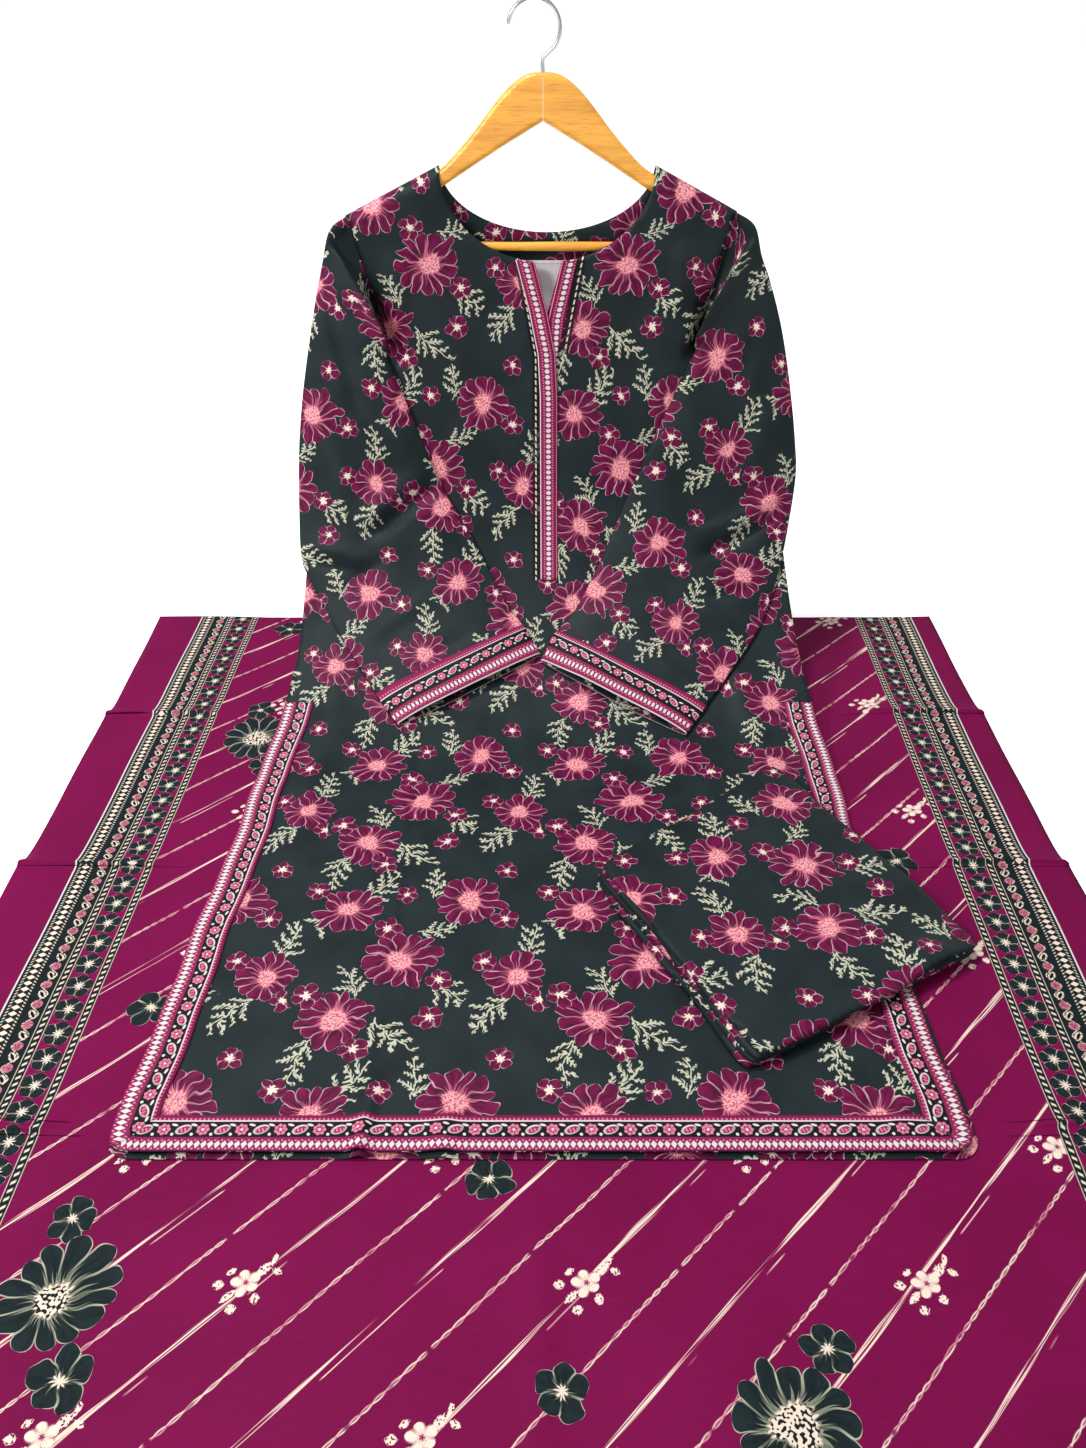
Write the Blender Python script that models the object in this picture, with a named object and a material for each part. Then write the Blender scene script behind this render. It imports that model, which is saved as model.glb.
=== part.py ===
"""Salwar kameez suit on a wooden hanger: a long printed tunic hangs from the hanger, curves forward and
lies on its spread dupatta, with its sleeves crossed in front and the folded trousers on its lower corner.

Frame: metres, +Z up, the front of the suit faces -Y. The origin is inside the crown of the hanger's
hook, where a rail or peg holds it. The table top that the dupatta lies on is at z = -CROWN_HEIGHT.

Cloth is placed with three cloth coordinates: x across the suit, s down the cloth from the shoulders,
and lift, the distance out of the cloth's middle plane towards its front.
"""

import math

import bmesh
import bpy
from mathutils import Vector

# ---- the hanger's place ----
CROWN_HEIGHT = 0.6418          # inside the hook's crown, above the table top
CROWN_X = -0.008               # the crown is a little left of the hanger's middle
HOOK_RADIUS = 0.0235           # middle of the wire
WIRE_RADIUS = 0.0017
HANGER_THICKNESS = 0.011
BAR_RADIUS = 0.0045
BAR_HEIGHT = 0.4355
BAR_HALF = 0.1595
SEAM_GAP = 0.0003

# ---- cloth ----
WALL = 0.0012                  # thickness of every cloth panel
TRIM_WALL = 0.0010             # thickness of a sewn-on border
LAYER_GAP = 0.0004             # between the dupatta's halves, and under the kameez
HALF_GAP = 0.00015             # from the kameez's middle plane to each of its panels
SLEEVE_REST = 0.0012           # the sleeves lie this far above the front

# ---- the way the kameez falls ----
LEAN = math.radians(11.8)      # the hanging part leans forward below the hanger
EASE_RADIUS = 0.25
BEND_RADIUS = 0.28
MIDDLE_HEIGHT = 3 * WALL + 2 * LAYER_GAP + HALF_GAP   # middle plane of the part that lies flat
FALL = (
    # length, radius (0 where straight)
    (0.075, 0.0),
    (EASE_RADIUS * LEAN, EASE_RADIUS),
    (0.155, 0.0),
    (BEND_RADIUS * (math.pi / 2 - LEAN), BEND_RADIUS),
    (9.000, 0.0),
)
BEND_START = sum(length for length, _ in FALL[:3])
BEND_END = sum(length for length, _ in FALL[:4])

# ---- the kameez's cut ----
NECK_HALF = 0.104
NECK_MIDDLE = 0.004
FRONT_NECK_DEPTH = 0.083
BACK_NECK_DEPTH = 0.058
SLIT_DEPTH = 0.134             # lowest point of the open neck slit
PLACKET_END = 0.411
PLACKET_WIDTH = 0.0185
BORDER_WIDTH = 0.030
LENGTH = 1.080
BACK_EXTRA = 0.007             # the back hangs a little longer than the front
BACK_SKEW = 0.011              # and its lower right corner stands out this far past the front's
SHOULDER_SEAM_LIFT = 0.003     # the shoulder seam runs this far above the cloth's zero line
HANGER_ROOM = 0.0072           # half the space between front and back where the hanger is
ROOM_FULL = 0.088              # that space is whole down to here
ROOM_GONE = 0.205              # and gone from here down
EDGE_CUTS = (0.004, 0.012)     # the space grows from nothing between a seam and these lines

# Side edges of the kameez: distance down the cloth, and how far it reaches to the left and right.
SIDES = (
    # s,    left,   right
    (0.285, 0.248, 0.250),     # under the arms
    (0.400, 0.259, 0.266),
    (0.500, 0.265, 0.277),
    (0.556, 0.272, 0.284),     # top of the side slits
    (0.640, 0.282, 0.291),
    (0.790, 0.287, 0.288),
    (0.930, 0.294, 0.292),
    (1.055, 0.300, 0.297),     # start of the round lower corners
)
SLIT_TOP_ROW = 3
LEFT_ARMHOLE = ((-0.197, 0.040), (-0.164, 0.166), (-0.196, 0.250))
RIGHT_ARMHOLE = ((0.193, 0.036), (0.162, 0.161), (0.196, 0.250))
CORNER_RADIUS = 0.018

# Sleeves, from the armhole to the cuff: the outer and the inner edge on the cloth.
LEFT_SLEEVE = (
    # outer x, outer s, inner x, inner s
    (-0.1985, 0.0415, -0.1655, 0.1660),
    (-0.2100, 0.0540, -0.1615, 0.1760),
    (-0.2205, 0.0850, -0.1545, 0.1930),
    (-0.2300, 0.1180, -0.1470, 0.2130),
    (-0.2420, 0.1680, -0.1380, 0.2370),
    (-0.2530, 0.2210, -0.1260, 0.2680),
    (-0.2610, 0.2760, -0.1120, 0.3060),
    (-0.2645, 0.3300, -0.0950, 0.3350),
    (-0.2640, 0.3830, -0.0780, 0.3640),
    (-0.2560, 0.4080, -0.0620, 0.3950),
    (-0.2380, 0.4420, -0.0470, 0.4240),
    (-0.2170, 0.4800, -0.0340, 0.4460),
    (-0.1720, 0.5530, -0.0210, 0.4660),
    (-0.1490, 0.5870, -0.0040, 0.4980),
)
RIGHT_SLEEVE = (
    (0.1945, 0.0375, 0.1635, 0.1610),
    (0.2080, 0.0500, 0.1580, 0.1700),
    (0.2180, 0.0780, 0.1500, 0.1860),
    (0.2300, 0.1050, 0.1420, 0.2040),
    (0.2450, 0.1500, 0.1330, 0.2240),
    (0.2580, 0.2050, 0.1170, 0.2600),
    (0.2680, 0.2600, 0.1030, 0.2950),
    (0.2720, 0.3000, 0.0890, 0.3270),
    (0.2660, 0.3580, 0.0760, 0.3600),
    (0.2560, 0.4050, 0.0630, 0.3900),
    (0.2370, 0.4590, 0.0490, 0.4200),
    (0.2130, 0.5000, 0.0350, 0.4460),
    (0.1670, 0.5680, 0.0140, 0.4730),
    (0.1460, 0.6000, -0.0010, 0.5060),
)
CUFF_ROWS = 2                  # the last rows of a sleeve that its cuff covers
SLEEVE_HOLLOW = 0.0035         # space inside a sleeve at its middle
ACROSS = (-1.0, -0.86, -0.45, 0.0, 0.45, 0.86, 1.0)   # points across a sleeve

# Rows and columns where the panels are creased to follow the fall; every layer shares them.
HANGING_ROWS = (0.03, 0.055, 0.075, ROOM_FULL, 0.101, 0.114, 0.1265, 0.145, 0.165, 0.185, ROOM_GONE, 0.245)
BEND_STEPS = 12
FLAT_ROWS = (0.80, 0.93, 1.05)
COLUMNS = (-0.20, -0.12, -0.06, 0.0, 0.06, 0.12, 0.20)

# ---- trousers, folded: corners of the bundle on the table, and its layers ----
TROUSER_CORNERS = (
    # x, y
    (0.043, -0.457),
    (0.226, -0.306),
    (0.284, -0.404),
    (0.355, -0.548),
    (0.150, -0.665),
)
TROUSER_BASE = 0.0085          # underside, above the table top
TROUSER_CORE = 0.0065          # hidden layers

# ---- dupatta: edges down its length, with a small step at each pressed fold ----
DUPATTA = (
    # y,     left,  right
    (0.018, 0.472, 0.476),
    (-0.190, 0.466, 0.470),
    (-0.193, 0.471, 0.475),
    (-0.430, 0.466, 0.468),
    (-0.433, 0.472, 0.473),
    (-0.703, 0.465, 0.469),
    (-0.706, 0.471, 0.474),
    (-1.140, 0.469, 0.473),
)
FOLD_STEPS = 6

# ---- hanger arm: distance from the middle, and the height of its two edges ----
ARM = (
    # x,    top,    bottom
    (0.0000, 0.5855, 0.5460),
    (0.0100, 0.5850, 0.5405),
    (0.0190, 0.5820, 0.5355),
    (0.0290, 0.5755, 0.5300),
    (0.0390, 0.5665, 0.5245),
    (0.0500, 0.5545, 0.5180),
    (0.0620, 0.5405, 0.5110),
    (0.0780, 0.5235, 0.5015),
    (0.1000, 0.5040, 0.4885),
    (0.1300, 0.4900, 0.4725),
    (0.1590, 0.4770, 0.4580),
)
ARM_TIP = ((0.1790, 0.4665), (0.1815, 0.4480), (0.1770, 0.4270), (0.1600, 0.4245))
LABEL = (-0.020, 0.028, 0.084, 0.136)   # x from and to, s from and to


def clear_scene():
    for obj in list(bpy.data.objects):
        bpy.data.objects.remove(obj, do_unlink=True)


def material(name, color, roughness, metallic=0.0):
    mat = bpy.data.materials.new(name)
    mat.use_nodes = True
    shader = mat.node_tree.nodes["Principled BSDF"]
    shader.inputs["Base Color"].default_value = (*color, 1.0)
    shader.inputs["Roughness"].default_value = roughness
    shader.inputs["Metallic"].default_value = metallic
    mat.diffuse_color = (*color, 1.0)
    return mat


def world(x, y, z):
    """From heights above the table top, and widths from the hanger's middle, to the part's frame."""
    return Vector((x - CROWN_X, y, z - CROWN_HEIGHT))


def walk(s):
    """Forward reach, drop and turn of the kameez's middle plane after s metres of cloth."""
    reach = 0.0
    drop = 0.0
    turn = 0.0
    for length, radius in FALL:
        step = min(s, length)
        if radius == 0.0:
            reach += math.sin(turn) * step
            drop += math.cos(turn) * step
        else:
            after = turn + step / radius
            reach += radius * (math.cos(turn) - math.cos(after))
            drop += radius * (math.sin(after) - math.sin(turn))
            turn = after
        s -= step
        if s <= 0.0:
            break
    return reach, drop, turn


SHOULDER_HEIGHT = MIDDLE_HEIGHT + walk(BEND_END)[1]


def place(x, s, lift):
    reach, drop, turn = walk(s)
    y = -reach - lift * math.cos(turn)
    z = SHOULDER_HEIGHT - drop + lift * math.sin(turn)
    return world(x, y, z)


def smooth(value):
    value = min(max(value, 0.0), 1.0)
    return value * value * (3.0 - 2.0 * value)


def side(s, column):
    """Reach of the kameez's side edge at s: column 1 is the left side and 2 the right."""
    for above, below in zip(SIDES, SIDES[1:]):
        if s <= below[0]:
            share = (s - above[0]) / (below[0] - above[0])
            return above[column] + share * (below[column] - above[column])
    return SIDES[-1][column]


def seam_lines():
    """Shoulder and armhole seams as (start, end, turn); turn is 1 where the panel is on their left."""
    neck_left = (NECK_MIDDLE - NECK_HALF, -SHOULDER_SEAM_LIFT)
    neck_right = (NECK_MIDDLE + NECK_HALF, -SHOULDER_SEAM_LIFT)
    return (
        (neck_left, LEFT_ARMHOLE[0], -1.0),
        (neck_right, RIGHT_ARMHOLE[0], 1.0),
        (LEFT_ARMHOLE[0], LEFT_ARMHOLE[1], -1.0),
        (RIGHT_ARMHOLE[0], RIGHT_ARMHOLE[1], 1.0),
    )


def seam_depth(x, s):
    """Distance inside the nearest shoulder or armhole seam line, negative outside it."""
    depths = []
    for (ax, a_s), (bx, b_s), turn in seam_lines():
        length = math.hypot(bx - ax, b_s - a_s)
        cross = (bx - ax) * (s - a_s) - (b_s - a_s) * (x - ax)
        depths.append(turn * cross / length)
    return min(depths)


def seam_cuts():
    """Lines beside the shoulder and armhole seams, as (point, normal) on the cloth."""
    cuts = []
    for (ax, a_s), (bx, b_s), turn in seam_lines():
        length = math.hypot(bx - ax, b_s - a_s)
        inward = (-turn * (b_s - a_s) / length, turn * (bx - ax) / length)
        for depth in EDGE_CUTS:
            cuts.append(((ax + inward[0] * depth, a_s + inward[1] * depth), inward))
    return cuts


def half_room(x, s):
    """Half the space between the front and back panels."""
    depth = seam_depth(x, s)
    grown = min(max(depth / EDGE_CUTS[1], 0.0), 1.0)
    round_top = math.sqrt(1.0 - (1.0 - grown) ** 2)
    down = 1.0 - smooth((s - ROOM_FULL) / (ROOM_GONE - ROOM_FULL))
    return HALF_GAP + HANGER_ROOM * round_top * down


def neck_curve(depth, steps):
    """Neckline from the left shoulder to the right one, an arc of an ellipse."""
    points = []
    for step in range(steps + 1):
        turn = math.pi * step / steps
        x = NECK_MIDDLE - NECK_HALF * math.cos(turn)
        points.append((x, depth * math.sin(turn) - SHOULDER_SEAM_LIFT * (1.0 - math.sin(turn))))
    return points


def side_edge(sign, column, start, end, inset=0.0):
    """Points down a side edge between two distances down the cloth."""
    rows = [row[0] for row in SIDES if start < row[0] < end]
    return [(sign * (side(s, column) - inset), s) for s in (start, *rows, end)]


def corner(sign, column, length, inset=0.0, steps=4):
    """Round lower corner, from the side to the hem."""
    reach = side(SIDES[-1][0], column) - inset
    radius = max(CORNER_RADIUS - inset, 0.0)
    points = []
    for step in range(steps + 1):
        turn = math.pi / 2 * step / steps
        x = reach - radius + radius * math.cos(turn)
        s = length - inset - radius + radius * math.sin(turn)
        points.append((sign * x, s))
    return points


def panel_outline(neck, length, slit):
    """Outline of the kameez's front or back: neck, right side, hem, left side."""
    points = list(neck)
    if slit:
        points = [p for p in neck if p[0] < NECK_MIDDLE - 0.014]
        points += [(NECK_MIDDLE - 0.014, 0.0822), (NECK_MIDDLE, SLIT_DEPTH), (NECK_MIDDLE + 0.016, 0.0820)]
        points += [p for p in neck if p[0] > NECK_MIDDLE + 0.016]
    points += list(RIGHT_ARMHOLE)
    points += side_edge(1.0, 2, SIDES[0][0], SIDES[-1][0])
    points += corner(1.0, 2, length)
    points += reversed(corner(-1.0, 1, length))
    points += reversed(side_edge(-1.0, 1, SIDES[0][0], SIDES[-1][0]))
    points += reversed(LEFT_ARMHOLE)
    return points


def rows():
    bend = [BEND_START + (BEND_END - BEND_START) * step / BEND_STEPS for step in range(BEND_STEPS + 1)]
    return [*HANGING_ROWS, *bend, *FLAT_ROWS]


def flat_pattern(outline, extra_cuts=()):
    """The outline as a flat mesh on (x, s), creased along the shared rows and columns."""
    mesh = bmesh.new()
    face = mesh.faces.new([mesh.verts.new((x, s, 0.0)) for x, s in outline])
    face.normal_update()
    cuts = [((0.0, s), (0.0, 1.0)) for s in rows()]
    cuts += [((x, 0.0), (1.0, 0.0)) for x in COLUMNS]
    cuts += extra_cuts
    for point, normal in cuts:
        geometry = [*mesh.verts, *mesh.edges, *mesh.faces]
        bmesh.ops.bisect_plane(mesh, geom=geometry, dist=1e-5,
                               plane_co=(point[0], point[1], 0.0), plane_no=(normal[0], normal[1], 0.0))
    bmesh.ops.remove_doubles(mesh, verts=mesh.verts, dist=5e-5)
    bmesh.ops.triangulate(mesh, faces=mesh.faces)
    return mesh


def sheet(name, outline, under, over, mat, extra_cuts=(), where=place):
    """Closed wall of cloth over an outline, between two lifts given as functions of (x, s)."""
    pattern = flat_pattern(outline, extra_cuts)
    solid = bmesh.new()
    low = {}
    high = {}
    for vert in pattern.verts:
        x, s = vert.co.x, vert.co.y
        low[vert] = solid.verts.new(where(x, s, under(x, s)))
        high[vert] = solid.verts.new(where(x, s, over(x, s)))
    for face in pattern.faces:
        solid.faces.new([low[vert] for vert in face.verts])
        solid.faces.new([high[vert] for vert in reversed(face.verts)])
    for edge in pattern.edges:
        if edge.is_boundary:
            a, b = edge.verts
            solid.faces.new((low[a], low[b], high[b], high[a]))
    pattern.free()
    return finish(name, solid, mat)


def finish(name, solid, mat, smooth_shade=True):
    bmesh.ops.recalc_face_normals(solid, faces=solid.faces)
    mesh = bpy.data.meshes.new(name)
    solid.to_mesh(mesh)
    solid.free()
    if smooth_shade:
        mesh.shade_smooth()
        mesh.set_sharp_from_angle(angle=math.radians(35))
    obj = bpy.data.objects.new(name, mesh)
    mesh.materials.append(mat)
    bpy.context.collection.objects.link(obj)
    return obj


# ---- the kameez ----

def front_under(x, s):
    return half_room(x, s)


def front_over(x, s):
    return half_room(x, s) + WALL


def back_over(x, s):
    return -half_room(x, s)


def back_under(x, s):
    return -half_room(x, s) - WALL


def border_under(x, s):
    return front_over(x, s) + SEAM_GAP


def border_over(x, s):
    return front_over(x, s) + SEAM_GAP + TRIM_WALL


def lap(s):
    """How far the left placket lifts to pass over the end of the right one."""
    return (TRIM_WALL + SEAM_GAP) * (1.0 - smooth((s - 0.22) / 0.04))


def placket_under(x, s):
    return border_under(x, s) + lap(s)


def placket_over(x, s):
    return border_over(x, s) + lap(s)


def make_kameez(cloth, trim, label):
    cuts = seam_cuts()
    sheet("kameez_front", panel_outline(neck_curve(FRONT_NECK_DEPTH, 16), LENGTH, True),
          front_under, front_over, cloth, cuts)
    back = panel_outline(neck_curve(BACK_NECK_DEPTH, 16), LENGTH + BACK_EXTRA, False)
    skewed = [(x + (BACK_SKEW * smooth((s - 0.80) / 0.20) if x > 0.1 else 0.0), s) for x, s in back]
    sheet("kameez_back", skewed, back_under, back_over, cloth, cuts)

    x_from, x_to, s_from, s_to = LABEL
    sheet("neck_label", ((x_from, s_from), (x_to, s_from), (x_to, s_to), (x_from, s_to)),
          lambda x, s: back_over(x, s) + SEAM_GAP, lambda x, s: back_over(x, s) + SEAM_GAP + TRIM_WALL, label)

    left_top = NECK_MIDDLE - 0.0300
    right_top = NECK_MIDDLE + 0.0290
    placket_left = (
        (left_top, 0.0826),
        (left_top + PLACKET_WIDTH, 0.0850),
        (NECK_MIDDLE + 0.0003, 0.1310),
        (NECK_MIDDLE + 0.0090, 0.1730),
        (NECK_MIDDLE + 0.0112, 0.2150),
        (NECK_MIDDLE + 0.0120, PLACKET_END),
        (NECK_MIDDLE + 0.0120 - PLACKET_WIDTH, PLACKET_END),
        (NECK_MIDDLE + 0.0112 - PLACKET_WIDTH, 0.2150),
        (NECK_MIDDLE + 0.0090 - PLACKET_WIDTH, 0.1730),
    )
    sheet("placket_left", placket_left, placket_under, placket_over, trim)
    placket_right = (
        (right_top, 0.0822),
        (NECK_MIDDLE + 0.0200, 0.1300),
        (NECK_MIDDLE + 0.0110, 0.1740),
        (NECK_MIDDLE + 0.0060, 0.2050),
        (NECK_MIDDLE - 0.0030, 0.2050),
        (NECK_MIDDLE + 0.0012, 0.1380),
        (right_top - 0.0145, 0.0832),
    )
    sheet("placket_right", placket_right, border_under, border_over, trim)

    bottom = SIDES[-1][0]
    top = SIDES[SLIT_TOP_ROW][0]
    for name, sign, column in (("side_border_left", -1.0, 1), ("side_border_right", 1.0, 2)):
        outer = side_edge(sign, column, top, bottom)
        arc = corner(sign, column, LENGTH)
        half_arc = arc[:3]
        inner = side_edge(sign, column, top, bottom, BORDER_WIDTH)
        inner[-1] = (inner[-1][0], LENGTH - BORDER_WIDTH)
        sheet(name, [*outer, *half_arc, *reversed(inner)], border_under, border_over, trim)
    left = corner(-1.0, 1, LENGTH)[2:]
    right = corner(1.0, 2, LENGTH)[2:]
    mitre = SEAM_GAP * 1.5
    inner_left = -(side(bottom, 1) - BORDER_WIDTH) + mitre
    inner_right = side(bottom, 2) - BORDER_WIDTH - mitre
    hem = [(x + mitre, s) for x, s in left]
    hem += [(x - mitre, s) for x, s in reversed(right)]
    hem += [(inner_right, LENGTH - BORDER_WIDTH), (inner_left, LENGTH - BORDER_WIDTH)]
    sheet("hem_border", hem, border_under, border_over, trim)


# ---- sleeves: flattened tubes, open at the armhole and at the cuff ----

def tube_ring(row, inset, low_extra, height):
    """One ring of a flattened tube: along its underside, then back along its top."""
    outer_x, outer_s, inner_x, inner_s = row
    width = math.hypot(inner_x - outer_x, inner_s - outer_s)
    shrink = 1.0 - 2.0 * inset / width
    ring = []
    for across in (*ACROSS, *reversed(ACROSS)):
        on_top = len(ring) >= len(ACROSS)
        share = 0.5 + 0.5 * across * shrink
        x = outer_x + (inner_x - outer_x) * share
        s = outer_s + (inner_s - outer_s) * share
        low = front_over(x, s) + SLEEVE_REST + low_extra
        swell = SLEEVE_HOLLOW * (1.0 - abs(across) ** 3) + SEAM_GAP
        ring.append((x, s, low + (height + swell if on_top else 0.0)))
    return ring


def tube(name, rings_outside, rings_inside, mat):
    """Closed wall between an outer and an inner row of rings, joined at the two open ends."""
    solid = bmesh.new()
    outside = [[solid.verts.new(place(*point)) for point in ring] for ring in rings_outside]
    inside = [[solid.verts.new(place(*point)) for point in ring] for ring in rings_inside]
    count = len(outside[0])
    for skin in (outside, inside):
        for a, b in zip(skin, skin[1:]):
            for k in range(count):
                n = (k + 1) % count
                solid.faces.new((a[k], a[n], b[n], b[k]))
    for end in (0, -1):
        for k in range(count):
            n = (k + 1) % count
            solid.faces.new((outside[end][k], outside[end][n], inside[end][n], inside[end][k]))
    bmesh.ops.triangulate(solid, faces=solid.faces)
    return finish(name, solid, mat)


def shortened(row, share_row, share):
    return tuple(a + (b - a) * share for a, b in zip(row, share_row))


def make_sleeve(name, cuff_name, table, cloth, trim):
    last = len(table) - 1
    outside = []
    inside = []
    for index, row in enumerate(table):
        over_cuff = index > last - CUFF_ROWS
        extra = TRIM_WALL + SEAM_GAP if over_cuff else 0.0
        outside.append(tube_ring(row, 0.0, extra, 2.0 * WALL))
        inside.append(tube_ring(row, WALL, extra + WALL, 0.0))
    tube(name, outside, inside, cloth)

    reach = TRIM_WALL + SEAM_GAP
    first = shortened(table[-2], table[-1], 0.02)
    cuff_rows = (first, table[-1])
    outside = [tube_ring(row, -reach, 0.0, 2.0 * (WALL + reach)) for row in cuff_rows]
    inside = [tube_ring(row, -SEAM_GAP, TRIM_WALL, 2.0 * (WALL + SEAM_GAP)) for row in cuff_rows]
    tube(cuff_name, outside, inside, trim)


# ---- trousers ----

def on_table(x, y, z):
    return world(x, y, z)


def inset_corners(points, amount):
    """The outline moved inwards by the same amount on every side."""
    moved = []
    count = len(points)
    for index in range(count):
        before = Vector(points[index - 1])
        here = Vector(points[index])
        after = Vector(points[(index + 1) % count])
        first = (here - before).normalized()
        second = (after - here).normalized()
        normal = Vector((first.y, -first.x)) + Vector((second.y, -second.x))
        normal.normalize()
        scale = amount / max(normal.dot(Vector((first.y, -first.x))), 0.3)
        moved.append(tuple(here + normal * scale))
    return moved


def slab(name, rings, mat):
    """Solid through a stack of outlines, each given with its height."""
    solid = bmesh.new()
    levels = [[solid.verts.new(on_table(x, y, z)) for x, y in points] for points, z in rings]
    count = len(levels[0])
    for low, high in zip(levels, levels[1:]):
        for k in range(count):
            n = (k + 1) % count
            solid.faces.new((low[k], low[n], high[n], high[k]))
    solid.faces.new(levels[0])
    solid.faces.new(levels[-1])
    bmesh.ops.triangulate(solid, faces=solid.faces)
    return finish(name, solid, mat)


def make_trousers(cloth):
    outline = list(TROUSER_CORNERS)
    z = TROUSER_BASE
    for name, thickness, inset, soft in (
        ("trouser_leg_lower", 2 * WALL, 0.0, 0.0006),
        ("trouser_folded_layers", TROUSER_CORE, 0.004, 0.0028),
        ("trouser_leg_upper", 2 * WALL, 0.001, 0.0006),
    ):
        middle = inset_corners(outline, inset)
        trimmed = inset_corners(outline, inset + soft)
        slab(name, ((trimmed, z), (middle, z + soft), (middle, z + thickness - soft),
                    (trimmed, z + thickness)), cloth)
        z += thickness + SEAM_GAP


# ---- dupatta ----

def make_dupatta(cloth):
    low = WALL + LAYER_GAP
    stations = [(y, left, right, low, low + WALL) for y, left, right in DUPATTA]
    fold_y, left, right = DUPATTA[-1]
    middle = WALL + LAYER_GAP / 2
    section = [(y, left_, right_, y, outer, y, inner) for y, left_, right_, inner, outer in stations]
    for step in range(1, FOLD_STEPS):
        angle = math.pi * step / FOLD_STEPS
        outer_radius = WALL + LAYER_GAP / 2
        inner_radius = LAYER_GAP / 2
        section.append((fold_y, left, right,
                        fold_y - outer_radius * math.sin(angle), middle + outer_radius * math.cos(angle),
                        fold_y - inner_radius * math.sin(angle), middle + inner_radius * math.cos(angle)))
    for y, left_, right_ in reversed(DUPATTA):
        section.append((y, left_, right_, y, 0.0, y, WALL))
    solid = bmesh.new()
    rings = []
    for _, left_, right_, outer_y, outer_z, inner_y, inner_z in section:
        corners = ((-left_, outer_y, outer_z), (right_, outer_y, outer_z),
                   (right_, inner_y, inner_z), (-left_, inner_y, inner_z))
        rings.append([solid.verts.new(on_table(*point)) for point in corners])
    for a, b in zip(rings, rings[1:]):
        for k in range(4):
            n = (k + 1) % 4
            solid.faces.new((a[k], a[n], b[n], b[k]))
    solid.faces.new(rings[0])
    solid.faces.new(rings[-1])
    bmesh.ops.triangulate(solid, faces=solid.faces)
    finish("dupatta", solid, cloth)


# ---- hanger ----

def make_arm(name, sign, wood):
    outline = [(x, top) for x, top, _ in ARM]
    outline += list(ARM_TIP)
    outline += [(x, bottom) for x, _, bottom in reversed(ARM)]
    half_gap = SEAM_GAP / 2
    depth = HANGER_THICKNESS / 2
    bevel = 0.0028
    shallow = inset_corners([(x, z) for x, z in outline], bevel)
    solid = bmesh.new()
    levels = []
    for points, y in ((shallow, -depth), (outline, bevel - depth), (outline, depth - bevel), (shallow, depth)):
        ring = []
        for (x, z), (full_x, _) in zip(points, outline):
            across = half_gap if full_x == 0.0 else max(x, half_gap)
            ring.append(solid.verts.new(world(sign * across, y, z)))
        levels.append(ring)
    count = len(outline)
    for low, high in zip(levels, levels[1:]):
        for k in range(count):
            n = (k + 1) % count
            solid.faces.new((low[k], low[n], high[n], high[k]))
    solid.faces.new(levels[0])
    solid.faces.new(levels[-1])
    bmesh.ops.triangulate(solid, faces=solid.faces)
    finish(name, solid, wood)


def make_bar(wood):
    bpy.ops.mesh.primitive_cylinder_add(vertices=16, radius=BAR_RADIUS, depth=2 * BAR_HALF)
    bar = bpy.context.object
    bar.name = "hanger_bar"
    bar.rotation_euler = (0.0, math.pi / 2, 0.0)
    bar.location = world(0.0, 0.0, BAR_HEIGHT)
    bar.data.materials.append(wood)
    bar.data.shade_smooth()
    bar.data.set_sharp_from_angle(angle=math.radians(35))


def hook_route():
    """Middle of the hook's wire, from its foot on the arms to its rounded tip."""
    centre_z = CROWN_HEIGHT - (HOOK_RADIUS - WIRE_RADIUS)
    foot = (0.0, ARM[0][1] + SEAM_GAP)
    points = [foot, (-0.0005, foot[1] + 0.006), (0.0, foot[1] + 0.011)]
    steps = 22
    start = math.radians(-38)
    end = math.radians(172)
    for step in range(steps + 1):
        angle = start + (end - start) * step / steps
        points.append((CROWN_X + HOOK_RADIUS * math.cos(angle), centre_z + HOOK_RADIUS * math.sin(angle)))
    return points


def make_hook(steel):
    curve = bpy.data.curves.new("hanger_hook", "CURVE")
    curve.dimensions = "3D"
    curve.bevel_depth = WIRE_RADIUS
    curve.bevel_resolution = 3
    curve.use_fill_caps = True
    route = hook_route()
    spline = curve.splines.new("POLY")
    spline.points.add(len(route) - 1)
    for point, (x, z) in zip(spline.points, route):
        point.co = (*world(x, 0.0, z), 1.0)
    curve.materials.append(steel)
    hook = bpy.data.objects.new("hanger_hook", curve)
    bpy.context.collection.objects.link(hook)


def main():
    clear_scene()
    printed = material("printed_cloth", (0.020, 0.034, 0.036), 0.62)
    border = material("border_print", (0.37, 0.035, 0.13), 0.62)
    shawl = material("dupatta_cloth", (0.23, 0.008, 0.097), 0.66)
    label = material("label_cloth", (0.62, 0.57, 0.59), 0.7)
    wood = material("hanger_wood", (0.86, 0.45, 0.12), 0.42)
    steel = material("hook_steel", (0.60, 0.60, 0.61), 0.28, 1.0)
    make_kameez(printed, border, label)
    make_sleeve("sleeve_left", "cuff_left", LEFT_SLEEVE, printed, border)
    make_sleeve("sleeve_right", "cuff_right", RIGHT_SLEEVE, printed, border)
    make_trousers(printed)
    make_dupatta(shawl)
    make_arm("hanger_arm_left", -1.0, wood)
    make_arm("hanger_arm_right", 1.0, wood)
    make_bar(wood)
    make_hook(steel)


main()
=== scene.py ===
"""Looks of the salwar kameez suit: printed cloth, borders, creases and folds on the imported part's form.

Frame: metres, +Z up, the front faces -Y. The origin is inside the crown of the hanger's hook, and the
table top is at z = -CROWN_HEIGHT. Cloth is placed by x across the suit, s down the cloth from the
shoulders, and lift, the distance out of the cloth's middle plane towards its front.
"""

import math

import bpy
import numpy as np
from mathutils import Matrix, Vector, geometry, kdtree


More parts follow.
